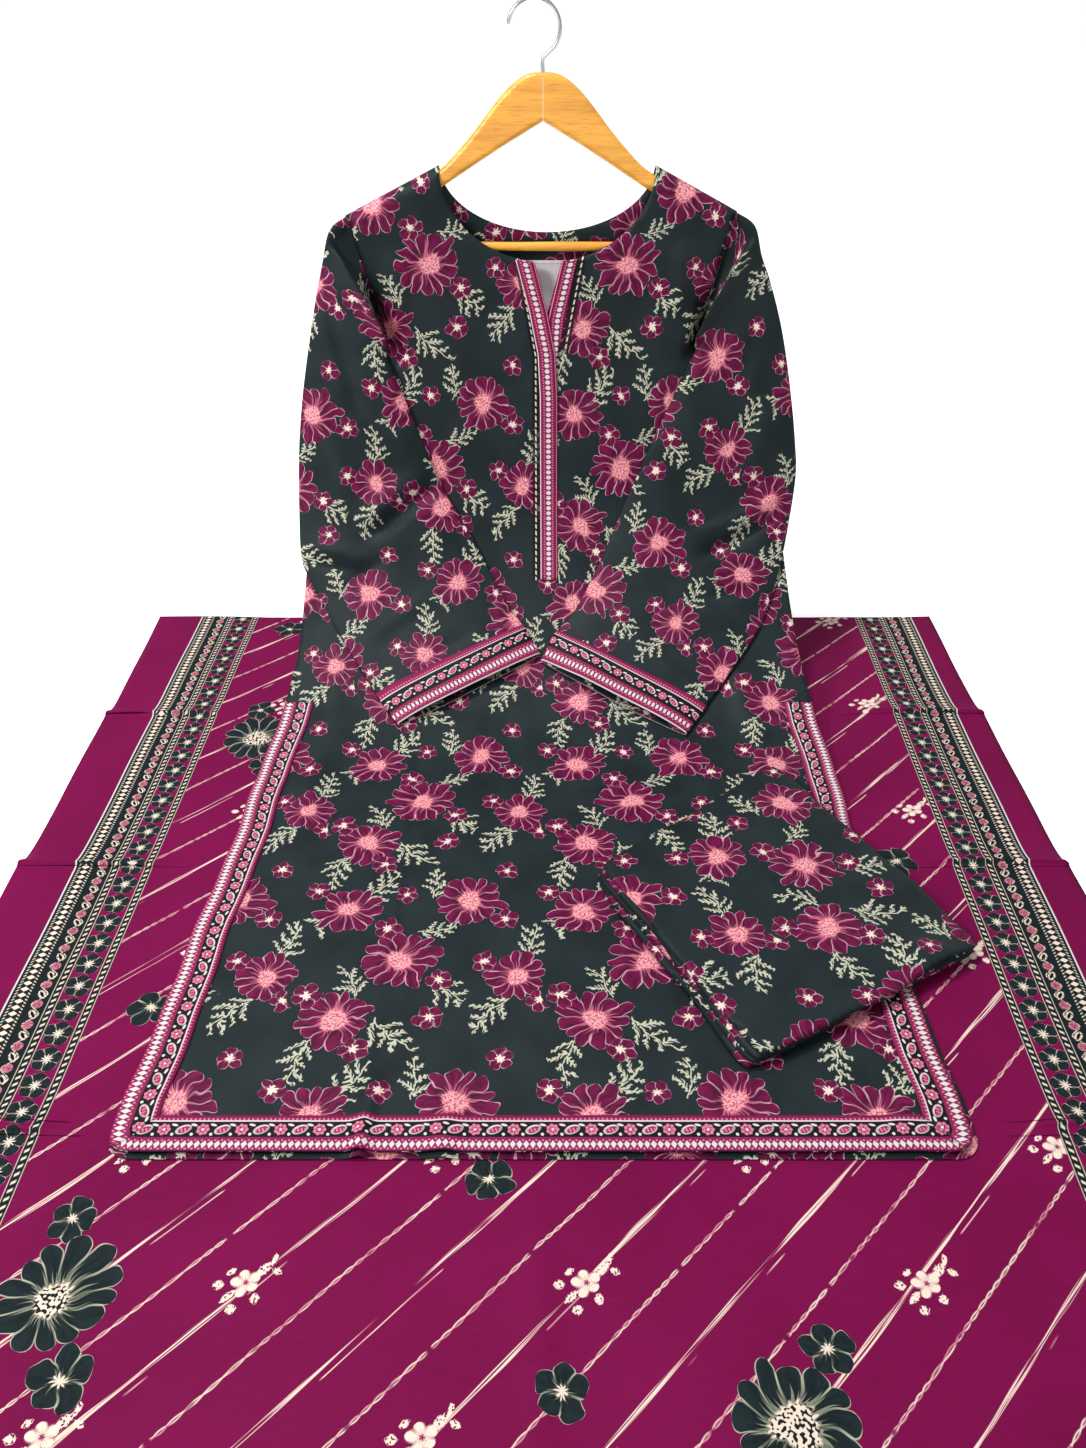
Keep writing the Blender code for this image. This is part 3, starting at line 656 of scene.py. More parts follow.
def sleeve_tube(table, rings, around, reach, cuff):
    """Points round and down a flattened sleeve, their place on the cut cloth, its widths and length."""
    outer_x, outer_s, inner_x, inner_s = spline(table, rings).T
    width = np.hypot(inner_x - outer_x, inner_s - outer_s)
    middle = np.column_stack(((outer_x + inner_x) / 2, (outer_s + inner_s) / 2))
    steps = np.hypot(*np.diff(middle, axis=0).T)
    along = np.concatenate(((0.0,), np.cumsum(steps)))
    angle = np.linspace(0.0, 2 * math.pi, around + 1)
    across = -np.cos(angle)
    upper = angle <= math.pi
    share = 0.5 + 0.5 * across * (1.0 + 2.0 * reach / width[:, None])
    x = outer_x[:, None] + (inner_x - outer_x)[:, None] * share
    s = outer_s[:, None] + (inner_s - outer_s)[:, None] * share
    dip = drape(x, s)
    joined_to_body = 0.0 if cuff else 1.0 - smooth((along - 0.004) / 0.01)[:, None]
    rest = half_room(x, s) + WALL + SLEEVE_REST * (1.0 - joined_to_body) + np.maximum(dip, 0.0)
    rest = rest + np.minimum(dip, 0.0) * joined_to_body
    puff = SLEEVE_PUFF * (1.0 - np.abs(across) ** 4)
    seamed, crest = (1.0, 0.0) if cuff else sleeve_head(along, across)
    top = SLEEVE_FOLD + puff + creases(SLEEVE_CREASES, x, s) * smooth(1.6 * (1 - across ** 2))
    edge = SLEEVE_FOLD / 2
    round_off = np.abs(np.sin(angle)) ** 0.45
    target = np.where(upper, np.maximum(top, LEAST_PUFF), UNDER_SIDE_LIFT)
    lift = rest + (edge + (target - edge) * round_off) * seamed
    lift = lift + np.where(upper, reach, -reach) * round_off
    leaning = x - math.copysign(FOLD_LEAN, table[0][0]) * crest * upper
    if cuff:
        u = np.where(upper, across / 2, 1.0 - across / 2) * width[:, None]
        v = np.repeat(along[-1] - along[:, None], around + 1, axis=1)
    else:
        taken = np.sqrt(sum(np.diff(values, axis=0) ** 2 for values in (leaning, s, lift)))
        taken = (taken - np.hypot(np.diff(x, axis=0), np.diff(s, axis=0))) * (along[1:, None] < FOLD_REACH)
        slack = np.vstack((np.cumsum(taken[::-1], axis=0)[::-1], np.zeros(around + 1)))
        heading = np.gradient(middle, axis=0)
        heading = heading / np.linalg.norm(heading, axis=1)[:, None]
        u, v = turned(x - slack * heading[:, :1], s - slack * heading[:, 1:],
                      math.copysign(SLEEVE_GRAIN, table[0][0]))
        u = u + np.where(upper, 0.0, HIDDEN_SHIFT)
    points = place(leaning.ravel(), s.ravel(), lift.ravel())
    return points, np.column_stack((u.ravel(), v.ravel())), width, along


def make_sleeve(side_name, table, cloth, trim, shift):
    inward = -math.copysign(1.0, table[0][0])
    head = np.array(table[0]) + SEAM_LAP * np.array((inward, 0.0, inward, 0.25))
    rings, around = 170, 72
    points, uv, width, along = sleeve_tube((head, *table[1:]), rings, around, 0.0, False)
    sleeve = cloth_piece("printed_sleeve_" + side_name, points, grid_faces(rings, around + 1),
                         uv + shift, cloth, "sleeve_" + side_name)
    area = float(np.trapz(2 * width, along))

    rings = 16
    cuff_rows = spline(table, SLEEVE_ROWS)[-CUFF_ROWS:]
    points, uv, width, along = sleeve_tube(cuff_rows, rings, around, CUFF_REACH, True)
    cuff = cloth_piece("cuff_band_" + side_name, points, grid_faces(rings, around + 1),
                       uv, trim, "cuff_" + side_name)


# ---- trousers ----

def soft_outline(corners, inset, seed):
    """The folded bundle's outline with round corners and slightly uneven edges."""
    points = np.array(resample(corners, 0.012))
    middle = points.mean(axis=0)
    away = points - middle
    reach = np.hypot(*away.T)[:, None]
    turn = np.arctan2(away[:, 1], away[:, 0])[:, None]
    uneven = 0.0016 * np.sin(5 * turn + seed) + 0.0011 * np.sin(11 * turn + 2.3 * seed)
    points = middle + away * (1.0 - (inset + uneven) / reach)
    for _ in range(2):
        points = (np.roll(points, 1, axis=0) + 6 * points + np.roll(points, -1, axis=0)) / 8
    return [tuple(p) for p in points.tolist()]


def make_layer(name, node, drawn_in, seed, inset, low, thickness, roll, bulge, shift, cloth):
    """One folded layer: flat in the middle, rolled round at its edges."""
    outline = soft_outline(tucked(*drawn_in), inset, seed)
    flat, faces = fill(outline, 0.0045)
    depth = distance_inside(flat, outline)
    rim = np.zeros(len(flat), dtype=bool)
    rim[[a for a, _ in open_edges(faces)]] = True
    depth[rim] = 0.0
    x, y = flat.T
    rounded = np.sqrt(1.0 - (1.0 - np.clip(depth / roll, 0.0, 1.0)) ** 2)
    middle = low + thickness / 2
    raised = bulge(x, y)
    top = middle + thickness / 2 * rounded + raised
    bottom = middle - thickness / 2 * rounded + raised * 0.6
    count = len(flat)
    points = np.vstack((on_table(x, y, top), on_table(x, y, bottom)))
    points[count:][rim] = points[:count][rim]
    twin = np.where(rim, np.arange(count), np.arange(count) + count)
    under = [tuple(int(twin[k]) for k in face[::-1]) for face in faces]
    u, v = turned(x, y, TROUSER_GRAIN)
    uv = np.column_stack((u, -v)) + shift
    piece = cloth_piece(name, points, [*faces, *under], np.vstack((uv, uv + HIDDEN_SHIFT)),
                        cloth, node, 0.0)


def calm(x, y):
    """The lower layers lie nearly flat."""
    return 0.0003 * np.sin(x * 41.0 + y * 17.0)


def upper_folds(x, y):
    """The top leg lies slack, and gapes at the far end of its open edge."""
    gape = 0.005 * np.exp(-((x - 0.318) / 0.03) ** 2 - ((y + 0.56) / 0.016) ** 2)
    ridge = 0.0022 * np.exp(-((x * 0.62 + y * 0.78 + 0.246) / 0.016) ** 2)
    dent = -0.001 * np.exp(-((x * 0.85 + y * 0.52 + 0.098) / 0.012) ** 2)
    return gape + ridge * smooth((x - 0.1) / 0.08) + dent + 0.0006 * np.sin(x * 33.0 - y * 21.0)


def tucked(left, near):
    """The bundle's corners with its left and near edges drawn in."""
    first, second, third, fourth, last = (Vector(corner) for corner in TROUSER_CORNERS)
    return (first + (second - first).normalized() * left, second, third,
            fourth + (third - fourth).normalized() * near,
            last + (fourth - last).normalized() * left + (first - last).normalized() * near)


def make_trousers(cloth):
    leg = 2 * WALL
    inner = TROUSER_BASE + leg + SEAM_GAP
    outer = inner + FOLDED_ROOM
    upper = outer + FOLDED_ROOM
    folded = "trouser_folded_layers"
    layers = (
        # piece, node, drawn in at the left and near, unevenness, inset, low, thickness, roll, slack, print
        ("trouser_lower_leg", "trouser_leg_lower", (0.0, 0.004), 0.4, 0.0, TROUSER_BASE, leg, 0.003,
         calm, (0.03, 0.02)),
        ("trouser_fold_inner", folded, (0.0028, 0.002), 1.7, 0.0012, inner, 0.0031, 0.004,
         calm, (0.11, 0.07)),
        ("trouser_fold_outer", folded, (0.006, 0.001), 2.9, 0.0008, outer, 0.003, 0.004,
         calm, (0.05, 0.13)),
        ("trouser_upper_leg", "trouser_leg_upper", (0.0095, 0.0), 4.1, 0.0, upper, leg, 0.003,
         upper_folds, (0.0, 0.0)),
    )
    for layer in layers:
        make_layer(*layer, cloth)


# ---- dupatta ----

def make_dupatta(shawl):
    """One long cloth folded in half, the fold at the near end."""
    far, near = DUPATTA[0][0], DUPATTA[-1][0]
    low_z, high_z = WALL / 2, WALL + LAYER_GAP + WALL / 2
    radius = (high_z - low_z) / 2
    under = np.linspace(far, near, 60)
    angle = np.linspace(0.0, math.pi, 9)[1:-1]
    close = [fold_y + np.linspace(-0.009, 0.006, 16) for fold_y, _ in PRESSED_FOLDS]
    steps = np.unique(np.concatenate((np.arange(near, far, 0.0055), *close)))
    over = np.append(steps, far)
    y = np.concatenate((under, near - radius * np.sin(angle), over))
    z = np.concatenate((np.full_like(under, low_z), (low_z + high_z) / 2 - radius * np.cos(angle),
                        np.full_like(over, high_z)))
    on_top = np.concatenate((np.zeros(len(under) + len(angle)), np.ones(len(over))))
    edge_y, edge_left, edge_right = DUPATTA[::-1].T
    left = np.interp(y, edge_y, edge_left)
    right = np.interp(y, edge_y, edge_right)
    columns = 130
    share = np.linspace(0.0, 1.0, columns)
    x = -left[:, None] + (left + right)[:, None] * share
    yy = np.repeat(y[:, None], columns, axis=1)
    open_side = np.maximum(smooth((np.abs(x) - COVERED_HALF) / 0.05), smooth((COVERED_NEAR - yy) / 0.04))
    ripple = 0.0006 * np.sin(x * 27.0 + yy * 9.0) + 0.0005 * np.sin(yy * 39.0 - x * 11.0 + 1.2)
    pressed = 0.0
    for fold_y, height in PRESSED_FOLDS:
        slope = yy - fold_y + 0.002 * np.sin(x * 13.0)
        pressed = pressed + height * np.exp(-np.abs(slope) / np.where(slope > 0.0, 0.011, 0.0016))
    pressed = pressed + 0.0022 * np.exp(-np.abs(x + 0.003) / 0.006)
    lift = (ripple + 0.0011 + pressed) * open_side * on_top[:, None]
    points = on_table(x.ravel(), yy.ravel(), (z[:, None] + lift).ravel())
    along = np.where(on_top[:, None] > 0, yy, 2 * near - yy)
    piece = cloth_piece("dupatta_cloth", points, grid_faces(len(y), columns),
                        np.column_stack((x.ravel(), along.ravel())), shawl, "dupatta")


# ---- hanger ----

def make_arm(name, node, sign, wood):
    """One shaped half of the hanger, with rounded edges."""
    rows = spline(ARM, 41)
    tip = spline([rows[-1, :2], *ARM_TIP, rows[-1, ::2]], 24)[1:-1]
    outline = [tuple(point) for point in np.vstack((rows[:, :2], tip, rows[::-1, ::2])).tolist()]
    flat, faces = fill(outline, 0.0022)
    depth = distance_inside(flat, outline, 0.0005)
    depth = np.where(flat[:, 0] < 0.012, np.minimum(depth + 0.012 - flat[:, 0], 0.012), depth)
    vertical = [np.abs(flat[:, 1] - np.interp(flat[:, 0], rows[:, 0], rows[:, k])) for k in (1, 2)]
    depth = np.where(flat[:, 0] < 0.14, np.minimum(*vertical) * 0.9, depth)
    rounded = np.sqrt(1.0 - (1.0 - np.clip(depth / 0.0045, 0.0, 1.0)) ** 2)
    half = HANGER_THICKNESS / 2 * (0.42 + 0.58 * rounded)
    x = np.maximum(flat[:, 0], SEAM_GAP / 2)
    count = len(flat)
    points = np.vstack((on_table(sign * x, -half, flat[:, 1]), on_table(sign * x, half, flat[:, 1])))
    walls = [(b, a, a + count, b + count) for a, b in open_edges(faces)]
    back = [tuple(k + count for k in face) for face in flipped(faces)]
    all_faces = [*faces, *back, *walls]
    if sign < 0:
        all_faces = flipped(all_faces)
    grain_place = flat * (sign, 1.0)
    uv = np.vstack((grain_place, grain_place + 0.3))
    arm = cloth_piece(name, points, all_faces, uv, wood, node, 0.0)
    arm.data.set_sharp_from_angle(angle=math.radians(50))


def make_rod(wood):
    """Bar between the arms, its round ends let into them."""
    rings, around = 60, 40
    t = np.linspace(-1.0, 1.0, rings)
    angle = np.linspace(0.0, 2 * math.pi, around + 1)
    end = np.clip((np.abs(t) - 0.985) / 0.015, 0.0, 1.0)
    radius = (BAR_RADIUS - 0.0002 + 0.0002 * np.sin(t * 9.0)) * np.sqrt(1.0 - 0.7 * end)
    x = np.repeat(BAR_HALF * t[:, None], around + 1, axis=1)
    y = radius[:, None] * np.cos(angle)
    z = BAR_HEIGHT + radius[:, None] * np.sin(angle)
    points = on_table(x.ravel(), y.ravel(), z.ravel())
    uv = np.column_stack((x.ravel(), np.tile(angle * BAR_RADIUS, rings)))
    caps = [tuple(range(around)), tuple((rings - 1) * (around + 1) + k for k in reversed(range(around)))]
    cloth_piece("hanger_rod", points, [*grid_faces(rings, around + 1), *caps], uv, wood,
                "hanger_bar", 0.0)


def make_hook(steel):
    """Bent wire, from between the arms round to its free end."""
    centre_z = CROWN_HEIGHT - (HOOK_RADIUS - WIRE_RADIUS)
    foot = ARM[0][1] + SEAM_GAP
    route = [(0.0, foot - 0.004), (0.0, foot), (-0.0005, foot + 0.006), (0.0, foot + 0.011)]
    for angle in np.radians(np.linspace(-38, 172, 34)):
        route.append((CROWN_X + HOOK_RADIUS * math.cos(angle), centre_z + HOOK_RADIUS * math.sin(angle)))
    curve = bpy.data.curves.new("wire_hook", "CURVE")
    curve.dimensions = "3D"
    curve.bevel_depth = WIRE_RADIUS
    curve.bevel_resolution = 8
    curve.use_fill_caps = True
    wire = curve.splines.new("POLY")
    wire.points.add(len(route) - 1)
    for point, (x, z) in zip(wire.points, route):
        point.co = (x - CROWN_X, 0.0, z - CROWN_HEIGHT, 1.0)
    wire.points[-1].radius = 0.75
    wire.use_smooth = True
    curve.materials.append(steel)
    tell_frame(add_object("wire_hook", curve), "hanger_hook")


# ---- materials: shader values that ordinary arithmetic works on ----

class Wire:
    """A value in a material; arithmetic on it adds the nodes that work it out."""

    def __init__(self, tree, socket):
        self.tree = tree
        self.socket = socket

    def __add__(self, other):
        return calc("ADD", self, other)

    def __radd__(self, other):
        return calc("ADD", other, self)

    def __sub__(self, other):
        return calc("SUBTRACT", self, other)

    def __rsub__(self, other):
        return calc("SUBTRACT", other, self)

    def __mul__(self, other):
        return calc("MULTIPLY", self, other)

    def __rmul__(self, other):
        return calc("MULTIPLY", other, self)

    def __abs__(self):
        return calc("ABSOLUTE", self)


def add_node(tree, kind, values=(), output=0, **settings):
    """A node with its inputs set or linked in order, None leaving one as it is."""
    made = tree.nodes.new("ShaderNode" + kind)
    for key, value in settings.items():
        setattr(made, key, value)
    for socket, value in zip(made.inputs, values):
        if isinstance(value, Wire):
            tree.links.new(value.socket, socket)
        elif value is not None:
            socket.default_value = value
    return Wire(tree, made.outputs[output])


def tree_of(values):
    return next(value.tree for value in values if isinstance(value, Wire))


def calc(operation, *values, clamp=False):
    return add_node(tree_of(values), "Math", values, operation=operation, use_clamp=clamp)


def vector(operation, *values, output=0):
    return add_node(tree_of(values), "VectorMath", values, output, operation=operation)


def blend(share, first, second):
    """Colour between two colours."""
    sockets = (share, None, None, None, None, None, first, second)
    return add_node(tree_of(sockets), "Mix", sockets, 2, data_type="RGBA")


def choose(share, first, second):
    sockets = (share, None, None, None, first, second)
    return add_node(tree_of(sockets), "Mix", sockets, 1, data_type="VECTOR")


def split(at):
    """The three coordinates of a place."""
    made = at.tree.nodes.new("ShaderNodeSeparateXYZ")
    at.tree.links.new(at.socket, made.inputs[0])
    return [Wire(at.tree, socket) for socket in made.outputs]


def joined(x, y):
    return add_node(tree_of((x, y)), "CombineXYZ", (x, y))


def length_of(at):
    return vector("LENGTH", at, output=1)


def ramp(value, slope, offset):
    """value times slope plus offset, kept between 0 and 1."""
    return calc("MULTIPLY_ADD", value, slope, offset, clamp=True)


def noise(at, scale, detail=0.0, rough=0.5):
    return add_node(at.tree, "TexNoise", (at, None, scale, detail, rough), noise_dimensions="2D")


def below(value, limit, soft):
    """1 where value is under the limit and 0 over it, with a soft step between."""
    if isinstance(limit, Wire):
        value = value - limit
        limit = 0.0
    return ramp(value, -1.0 / soft, limit / soft + 0.5)


def above(value, limit, soft):
    return below(value * -1.0, -limit, soft)


def stripe(value, middle, half, soft):
    """1 within half of the middle and 0 beyond it."""
    return below(abs(value - middle), half, soft)


def paint(colour, *coats):
    """Lay coats over a colour in turn, each a share and an ink."""
    for share, ink in coats:
        colour = blend(share, colour, ink)
    return colour


def cell(value, pitch, shift=0.0):
    """Distance from the middle of the repeat that value lies in."""
    return (calc("FRACT", value * (1.0 / pitch) + shift) - 0.5) * pitch


def oval(u, v, half_u, half_v, turn=0.0):
    """1 inside an ellipse about zero and 0 outside."""
    if turn:
        u, v = turned(u, v, turn)
    return below(length_of(joined(u * (1.0 / half_u), v * (1.0 / half_v))), 1.0, 0.22)


def diamond(u, v, half_u, half_v):
    return below(abs(u) * (1.0 / half_u) + abs(v) * (1.0 / half_v), 1.0, 0.16)


TURN_SCALE = 1000.0            # a motif's turn rides in the third coordinate, made small by this much
DRIFT = 0.18                   # most that a drawn motif strays, as a share of its radius


def scattered(at, motifs, repeat):
    """Place in the nearest motif of a repeat, from -1 to 1, its turn in the third coordinate."""
    found = (9.0, 9.0, 0.0)
    width, height = repeat
    for u, v, radius, turn in motifs:
        top = (u + width / 2, v + height / 2, 0.0)
        bottom = (u - width / 2, v - height / 2, 0.0)
        near = vector("WRAP", at, top, bottom)
        local = vector("MULTIPLY_ADD", near, (1 / radius, 1 / radius, 0.0),
                       (-u / radius, -v / radius, math.radians(turn) / TURN_SCALE))
        found = choose(below(length_of(local), 1.05, 0.001), found, local)
    return found


def unsteady(at, motifs, repeat, scale):
    """Place in the nearest motif, drifting as a hand does, so that no two are drawn alike."""
    drift = add_node(at.tree, "TexNoise", (at, None, scale, 1.0), 1, noise_dimensions="2D")
    drift = vector("MULTIPLY_ADD", drift, (2 * DRIFT, 2 * DRIFT, 0.0), (-DRIFT, -DRIFT, 0.0))
    return vector("ADD", scattered(at, motifs, repeat), drift)


def flower(base, found, kind, inks):
    """Drawn over a colour: broad petals with a fine outline, and thin rays out of a fuzzy heart."""
    petals, widest, half_width, heart, points, point_reach, fine = kind
    dark, light, line_ink, ray_ink, heart_ink = inks
    x, y, z = split(found)
    r = length_of(found)
    turn = calc("ARCTAN2", y, x) + z * TURN_SCALE
    spread = turn * (petals / (2 * math.pi))
    petal = calc("FLOORED_MODULO", calc("FLOOR", spread), float(petals))
    seed = add_node(found.tree, "TexWhiteNoise", (None, petal + z * 9177.0), noise_dimensions="1D")
    middle = calc("FRACT", spread) - 0.5
    pitch = r * (2 * math.pi / petals)
    reach = seed * 0.2 + 0.78
    tip = calc("DIVIDE", calc("MAXIMUM", r - widest, 0.0), reach - widest)
    half = calc("SQRT", ramp(tip * tip, tip * -1.0, 1.0)) * half_width
    edge = half - abs(middle + (seed - 0.5) * 0.18) * pitch
    seam = (0.5 - abs(middle)) * pitch
    body = above(edge, 0.0, 0.016) * below(r, reach, 0.015)
    streak = noise(joined(spread * 2.6, r * 1.7), 1.0, 2.0, 0.6)
    line = below(calc("MINIMUM", edge, seam), fine, fine * 0.8) * above(streak, 0.36, 0.16)
    line = line * ramp(r, 1.7, -0.35)
    ray_reach = noise(joined(calc("FLOOR", spread * 3.0), z * TURN_SCALE), 0.83) * 0.52 + heart - 0.1
    ray_off = abs(calc("FRACT", spread * 3.0) - 0.5) * pitch * 0.333
    rays = below(ray_off, (ray_reach - r) * 0.085, fine * 0.6)
    shade = blend(ramp(streak, 2.4, r * 0.9 - 1.3), dark, light)
    limit = calc("COSINE", turn * points) * point_reach + streak * 0.1 + heart - 0.05
    disc = below(r, limit, 0.05)
    coats = ((body, shade), (body * line, line_ink), (body * rays, ray_ink), (disc, heart_ink))
    return paint(base, *coats), disc


def fern(base, found, ink, grain):
    """Drawn over a colour: a bent stem with side branches, each with short twigs, like a frond of coral."""
    x, y, z = split(found)
    along, aside = turned(x, y, z * TURN_SCALE)
    aside = aside + along * along * 0.2 - 0.06
    share = along * 0.5 + 0.5
    off = abs(aside)
    on_left = calc("SIGN", aside)
    seat = share - off * 0.42 + on_left * 0.05
    step = seat * 4.2
    gap = abs(calc("FRACT", step) - 0.5) * 0.35
    uneven = noise(joined(calc("FLOOR", step), on_left + z * TURN_SCALE), 0.77)
    limit = calc("SQRT", ramp(seat, -1.0, 1.0)) * 0.86 - uneven * 0.42
    on_branch = below(off, limit, 0.03) * above(seat, 0.06, 0.02)
    branch = below(gap, 0.024, 0.016)
    twig = stripe(calc("FRACT", off * 6.4 - gap * 5.0), 0.5, 0.034 / 0.155, 0.018 / 0.155)
    twig = twig * below(gap, (limit - off) * 0.16 + 0.062, 0.02)
    stem = below(off, 0.026, 0.016) * below(share, 0.97, 0.04)
    frond = calc("MAXIMUM", calc("MAXIMUM", branch, twig) * on_branch, stem)
    return blend(frond * above(grain, 0.3, 0.16) * below(length_of(found), 1.0, 0.05), base, ink)


# Colours.
GROUND = (0.0115, 0.02, 0.0225, 1.0)
GROUND_DEEP = (0.0065, 0.012, 0.0138, 1.0)
PLUM = (0.052, 0.0012, 0.02, 1.0)
MAGENTA = (0.148, 0.0022, 0.05, 1.0)
PALE_LINE = (0.64, 0.36, 0.42, 1.0)
PINK_RAY = (0.46, 0.09, 0.16, 1.0)
SALMON = (0.72, 0.31, 0.32, 1.0)
HEART_DEEP = (0.3, 0.03, 0.095, 1.0)
CREAM = (0.66, 0.56, 0.48, 1.0)
IVORY = (0.45, 0.45, 0.34, 1.0)
IVORY_DIM = (0.17, 0.19, 0.13, 1.0)
BLACK = (0.004, 0.004, 0.0045, 1.0)
WHITE = (0.58, 0.54, 0.53, 1.0)
TRIM_MAGENTA = (0.225, 0.012, 0.075, 1.0)
TRIM_DARK = (0.095, 0.004, 0.036, 1.0)
TRIM_PINK = (0.54, 0.15, 0.24, 1.0)
SHAWL = (0.158, 0.0024, 0.052, 1.0)
SHAWL_DEEP = (0.124, 0.0016, 0.041, 1.0)
BLOSSOM = (0.66, 0.55, 0.45, 1.0)
STROKE = (0.46, 0.16, 0.2, 1.0)
PETAL_WHITE = (0.7, 0.58, 0.49, 1.0)
WOOD = (0.62, 0.26, 0.028, 1.0)
WOOD_PALE = (0.84, 0.405, 0.05, 1.0)
WOOD_DARK = (0.36, 0.13, 0.02, 1.0)
STEEL_DARK = (0.3, 0.3, 0.31, 1.0)
STEEL = (0.62, 0.62, 0.64, 1.0)
SATIN_DIM = (0.6, 0.54, 0.56, 1.0)
SATIN = (0.78, 0.74, 0.76, 1.0)
THREAD = (0.4, 0.33, 0.36, 1.0)
TABLE_WHITE = (0.97, 0.97, 0.97, 1.0)
PURE_WHITE = (1.0, 1.0, 1.0, 1.0)

# Kinds of flower: petals, where they are widest, half their width, the heart, its points, how far the
# points reach, the outline. The lengths are shares of the flower's radius.
DAISY = (13, 0.66, 0.168, 0.27, 22.0, 0.02, 0.016)
SMALL_FLOWER = (5, 0.62, 0.4, 0.24, 7.0, 0.085, 0.04)
DARK_DAISY = (13, 0.66, 0.172, 0.27, 19.0, 0.02, 0.014)
DARK_FLOWER = (5, 0.64, 0.42, 0.14, 9.0, 0.07, 0.03)
BAND_FLOWER = (5, 0.62, 0.47, 0.2, 9.0, 0.14, 0.022)
SPRIG_FLOWER = (5, 0.6, 0.36, 0.12, 5.0, 0.06, 0.09)

# Their inks: a petal's dark and light, its outline, the rays, the heart.
DAISY_INKS = (PLUM, MAGENTA, PALE_LINE, PINK_RAY, SALMON)
SMALL_INKS = (PLUM, MAGENTA, PALE_LINE, PINK_RAY, CREAM)
DARK_INKS = (GROUND_DEEP, GROUND, IVORY, IVORY_DIM, BLOSSOM)
BAND_INKS = (GROUND_DEEP, GROUND, BLOSSOM, IVORY, CREAM)
SPRIG_INKS = (PETAL_WHITE, PETAL_WHITE, TRIM_MAGENTA, TRIM_MAGENTA, TRIM_MAGENTA)

MM_AND_DEGREES = (1000, 1000, 1000, 1)
REPEAT = (0.2, 0.204)
DAISIES = np.array((
    # across, down, radius in mm, turn in degrees
    (34, 30, 31, 10),
    (137, 18, 33.5, 55),
    (85, 86, 35, 31),
    (178, 104, 29, 77),
    (40, 148, 32.5, 120),
)) / MM_AND_DEGREES
SMALL_FLOWERS = np.array((
    (5, 8, 12.5, 20),
    (168, 40, 13.5, 64),
    (70, 51, 13, 110),
    (117, 108, 13, 5),
    (152, 88, 12, 44),
    (197, 129, 12.5, 80),
    (14, 124, 14.5, 32),
    (58, 176, 13, 150),
    (112, 146, 14, 15),
    (82, 10, 11.5, 95),
    (168, 184, 12, 130),
)) / MM_AND_DEGREES
FERNS = np.array((
    (61, 0, 24.5, -50),
    (3, 58, 23.5, 125),
    (115, 52, 19, -20),
    (106, 198, 21, -95),
    (132, 124, 24, 35),
    (46, 108, 20, -120),
    (190, 65, 22.5, -75),
    (158, 143, 23, 130),
    (86, 164, 25, 40),
    (18, 188, 22.5, 100),
)) / MM_AND_DEGREES


def shader_of(mat):
    return mat.node_tree.nodes["Principled BSDF"]


def new_material(name, settings):
    """A material, its shader's own sockets set as given."""
    mat = bpy.data.materials.new(name)
    mat.use_nodes = True
    for key, value in settings.items():
        shader_of(mat).inputs[key].default_value = value
    return mat


def fabric_material(name, roughness, gloss, **more):
    """A material, and its surface's place on the flat fabric."""
    settings = {"Roughness": roughness, "Specular IOR Level": gloss}
    settings.update((key.replace("_", " ").title(), value) for key, value in more.items())
    mat = new_material(name, settings)
    return mat, add_node(mat.node_tree, "UVMap", uv_map="Fabric")


def finished(mat, colour, height, strength, distance):
    """The material with its colour and its bumps linked in."""
    links = mat.node_tree.links
    links.new(colour.socket, shader_of(mat).inputs["Base Color"])
    bump = mat.node_tree.nodes.new("ShaderNodeBump")
    bump.inputs["Strength"].default_value = strength
    bump.inputs["Distance"].default_value = distance
    links.new(height.socket, bump.inputs["Height"])
    links.new(bump.outputs["Normal"], shader_of(mat).inputs["Normal"])
    return mat


def weave_height(uv):
    """Soft crumple of thin cloth with its weave."""
    crumple = noise(uv, 16.0, 3.0, 0.55)
    weave = noise(uv, 1400.0)
    return crumple + weave * 0.05


def placket_strips(colour, uv):
    """Black strips with ivory dashes, printed on the front beside the neck trims."""
    x, s, _ = split(uv)
    spread = calc("MAXIMUM", 0.175 - s, 0.0)
    off_left = spread * -0.185 - x + NECK_MIDDLE - 0.0066
    off_right = x - spread * 0.185 - NECK_MIDDLE - 0.0128
    down = below(s, PLACKET_END, 0.001)
    for off, run in ((off_left, down), (off_right, down * below(s, 0.17, 0.004))):
        strip_share = stripe(off, 0.0045, 0.0042, 0.0008) * run
        dash = below(abs(cell(s + off * 0.8, 0.0072)), 0.0022, 0.0006) * stripe(off, 0.005, 0.0007, 0.0005)
        colour = paint(colour, (strip_share * 0.85, BLACK), (dash * strip_share, CREAM))
    return colour


def printed_material(name, with_strips):
    """Dark floral print, in a repeat of daisies, small flowers and fern sprigs."""
    mat, uv = fabric_material(name, 0.55, 0.13, sheen_weight=0.012, sheen_roughness=0.45)
    cloudy = noise(uv, 22.0, 2.0)
    grain = noise(uv, 620.0, 1.0)
    colour = blend(ramp(cloudy, 2.0, -0.5), GROUND_DEEP, GROUND)
    colour = fern(colour, unsteady(uv, FERNS, REPEAT, 80.0), IVORY, grain)
    colour, disc = flower(colour, unsteady(uv, DAISIES, REPEAT, 55.0), DAISY, DAISY_INKS)
    colour = blend(disc * below(noise(uv, 520.0, 1.0), 0.47, 0.1) * 0.8, colour, HEART_DEEP)
    colour, _ = flower(colour, unsteady(uv, SMALL_FLOWERS, REPEAT, 130.0), SMALL_FLOWER, SMALL_INKS)
    if with_strips:
        colour = placket_strips(colour, uv)
    return finished(mat, colour, weave_height(uv), 0.35, 0.0022)


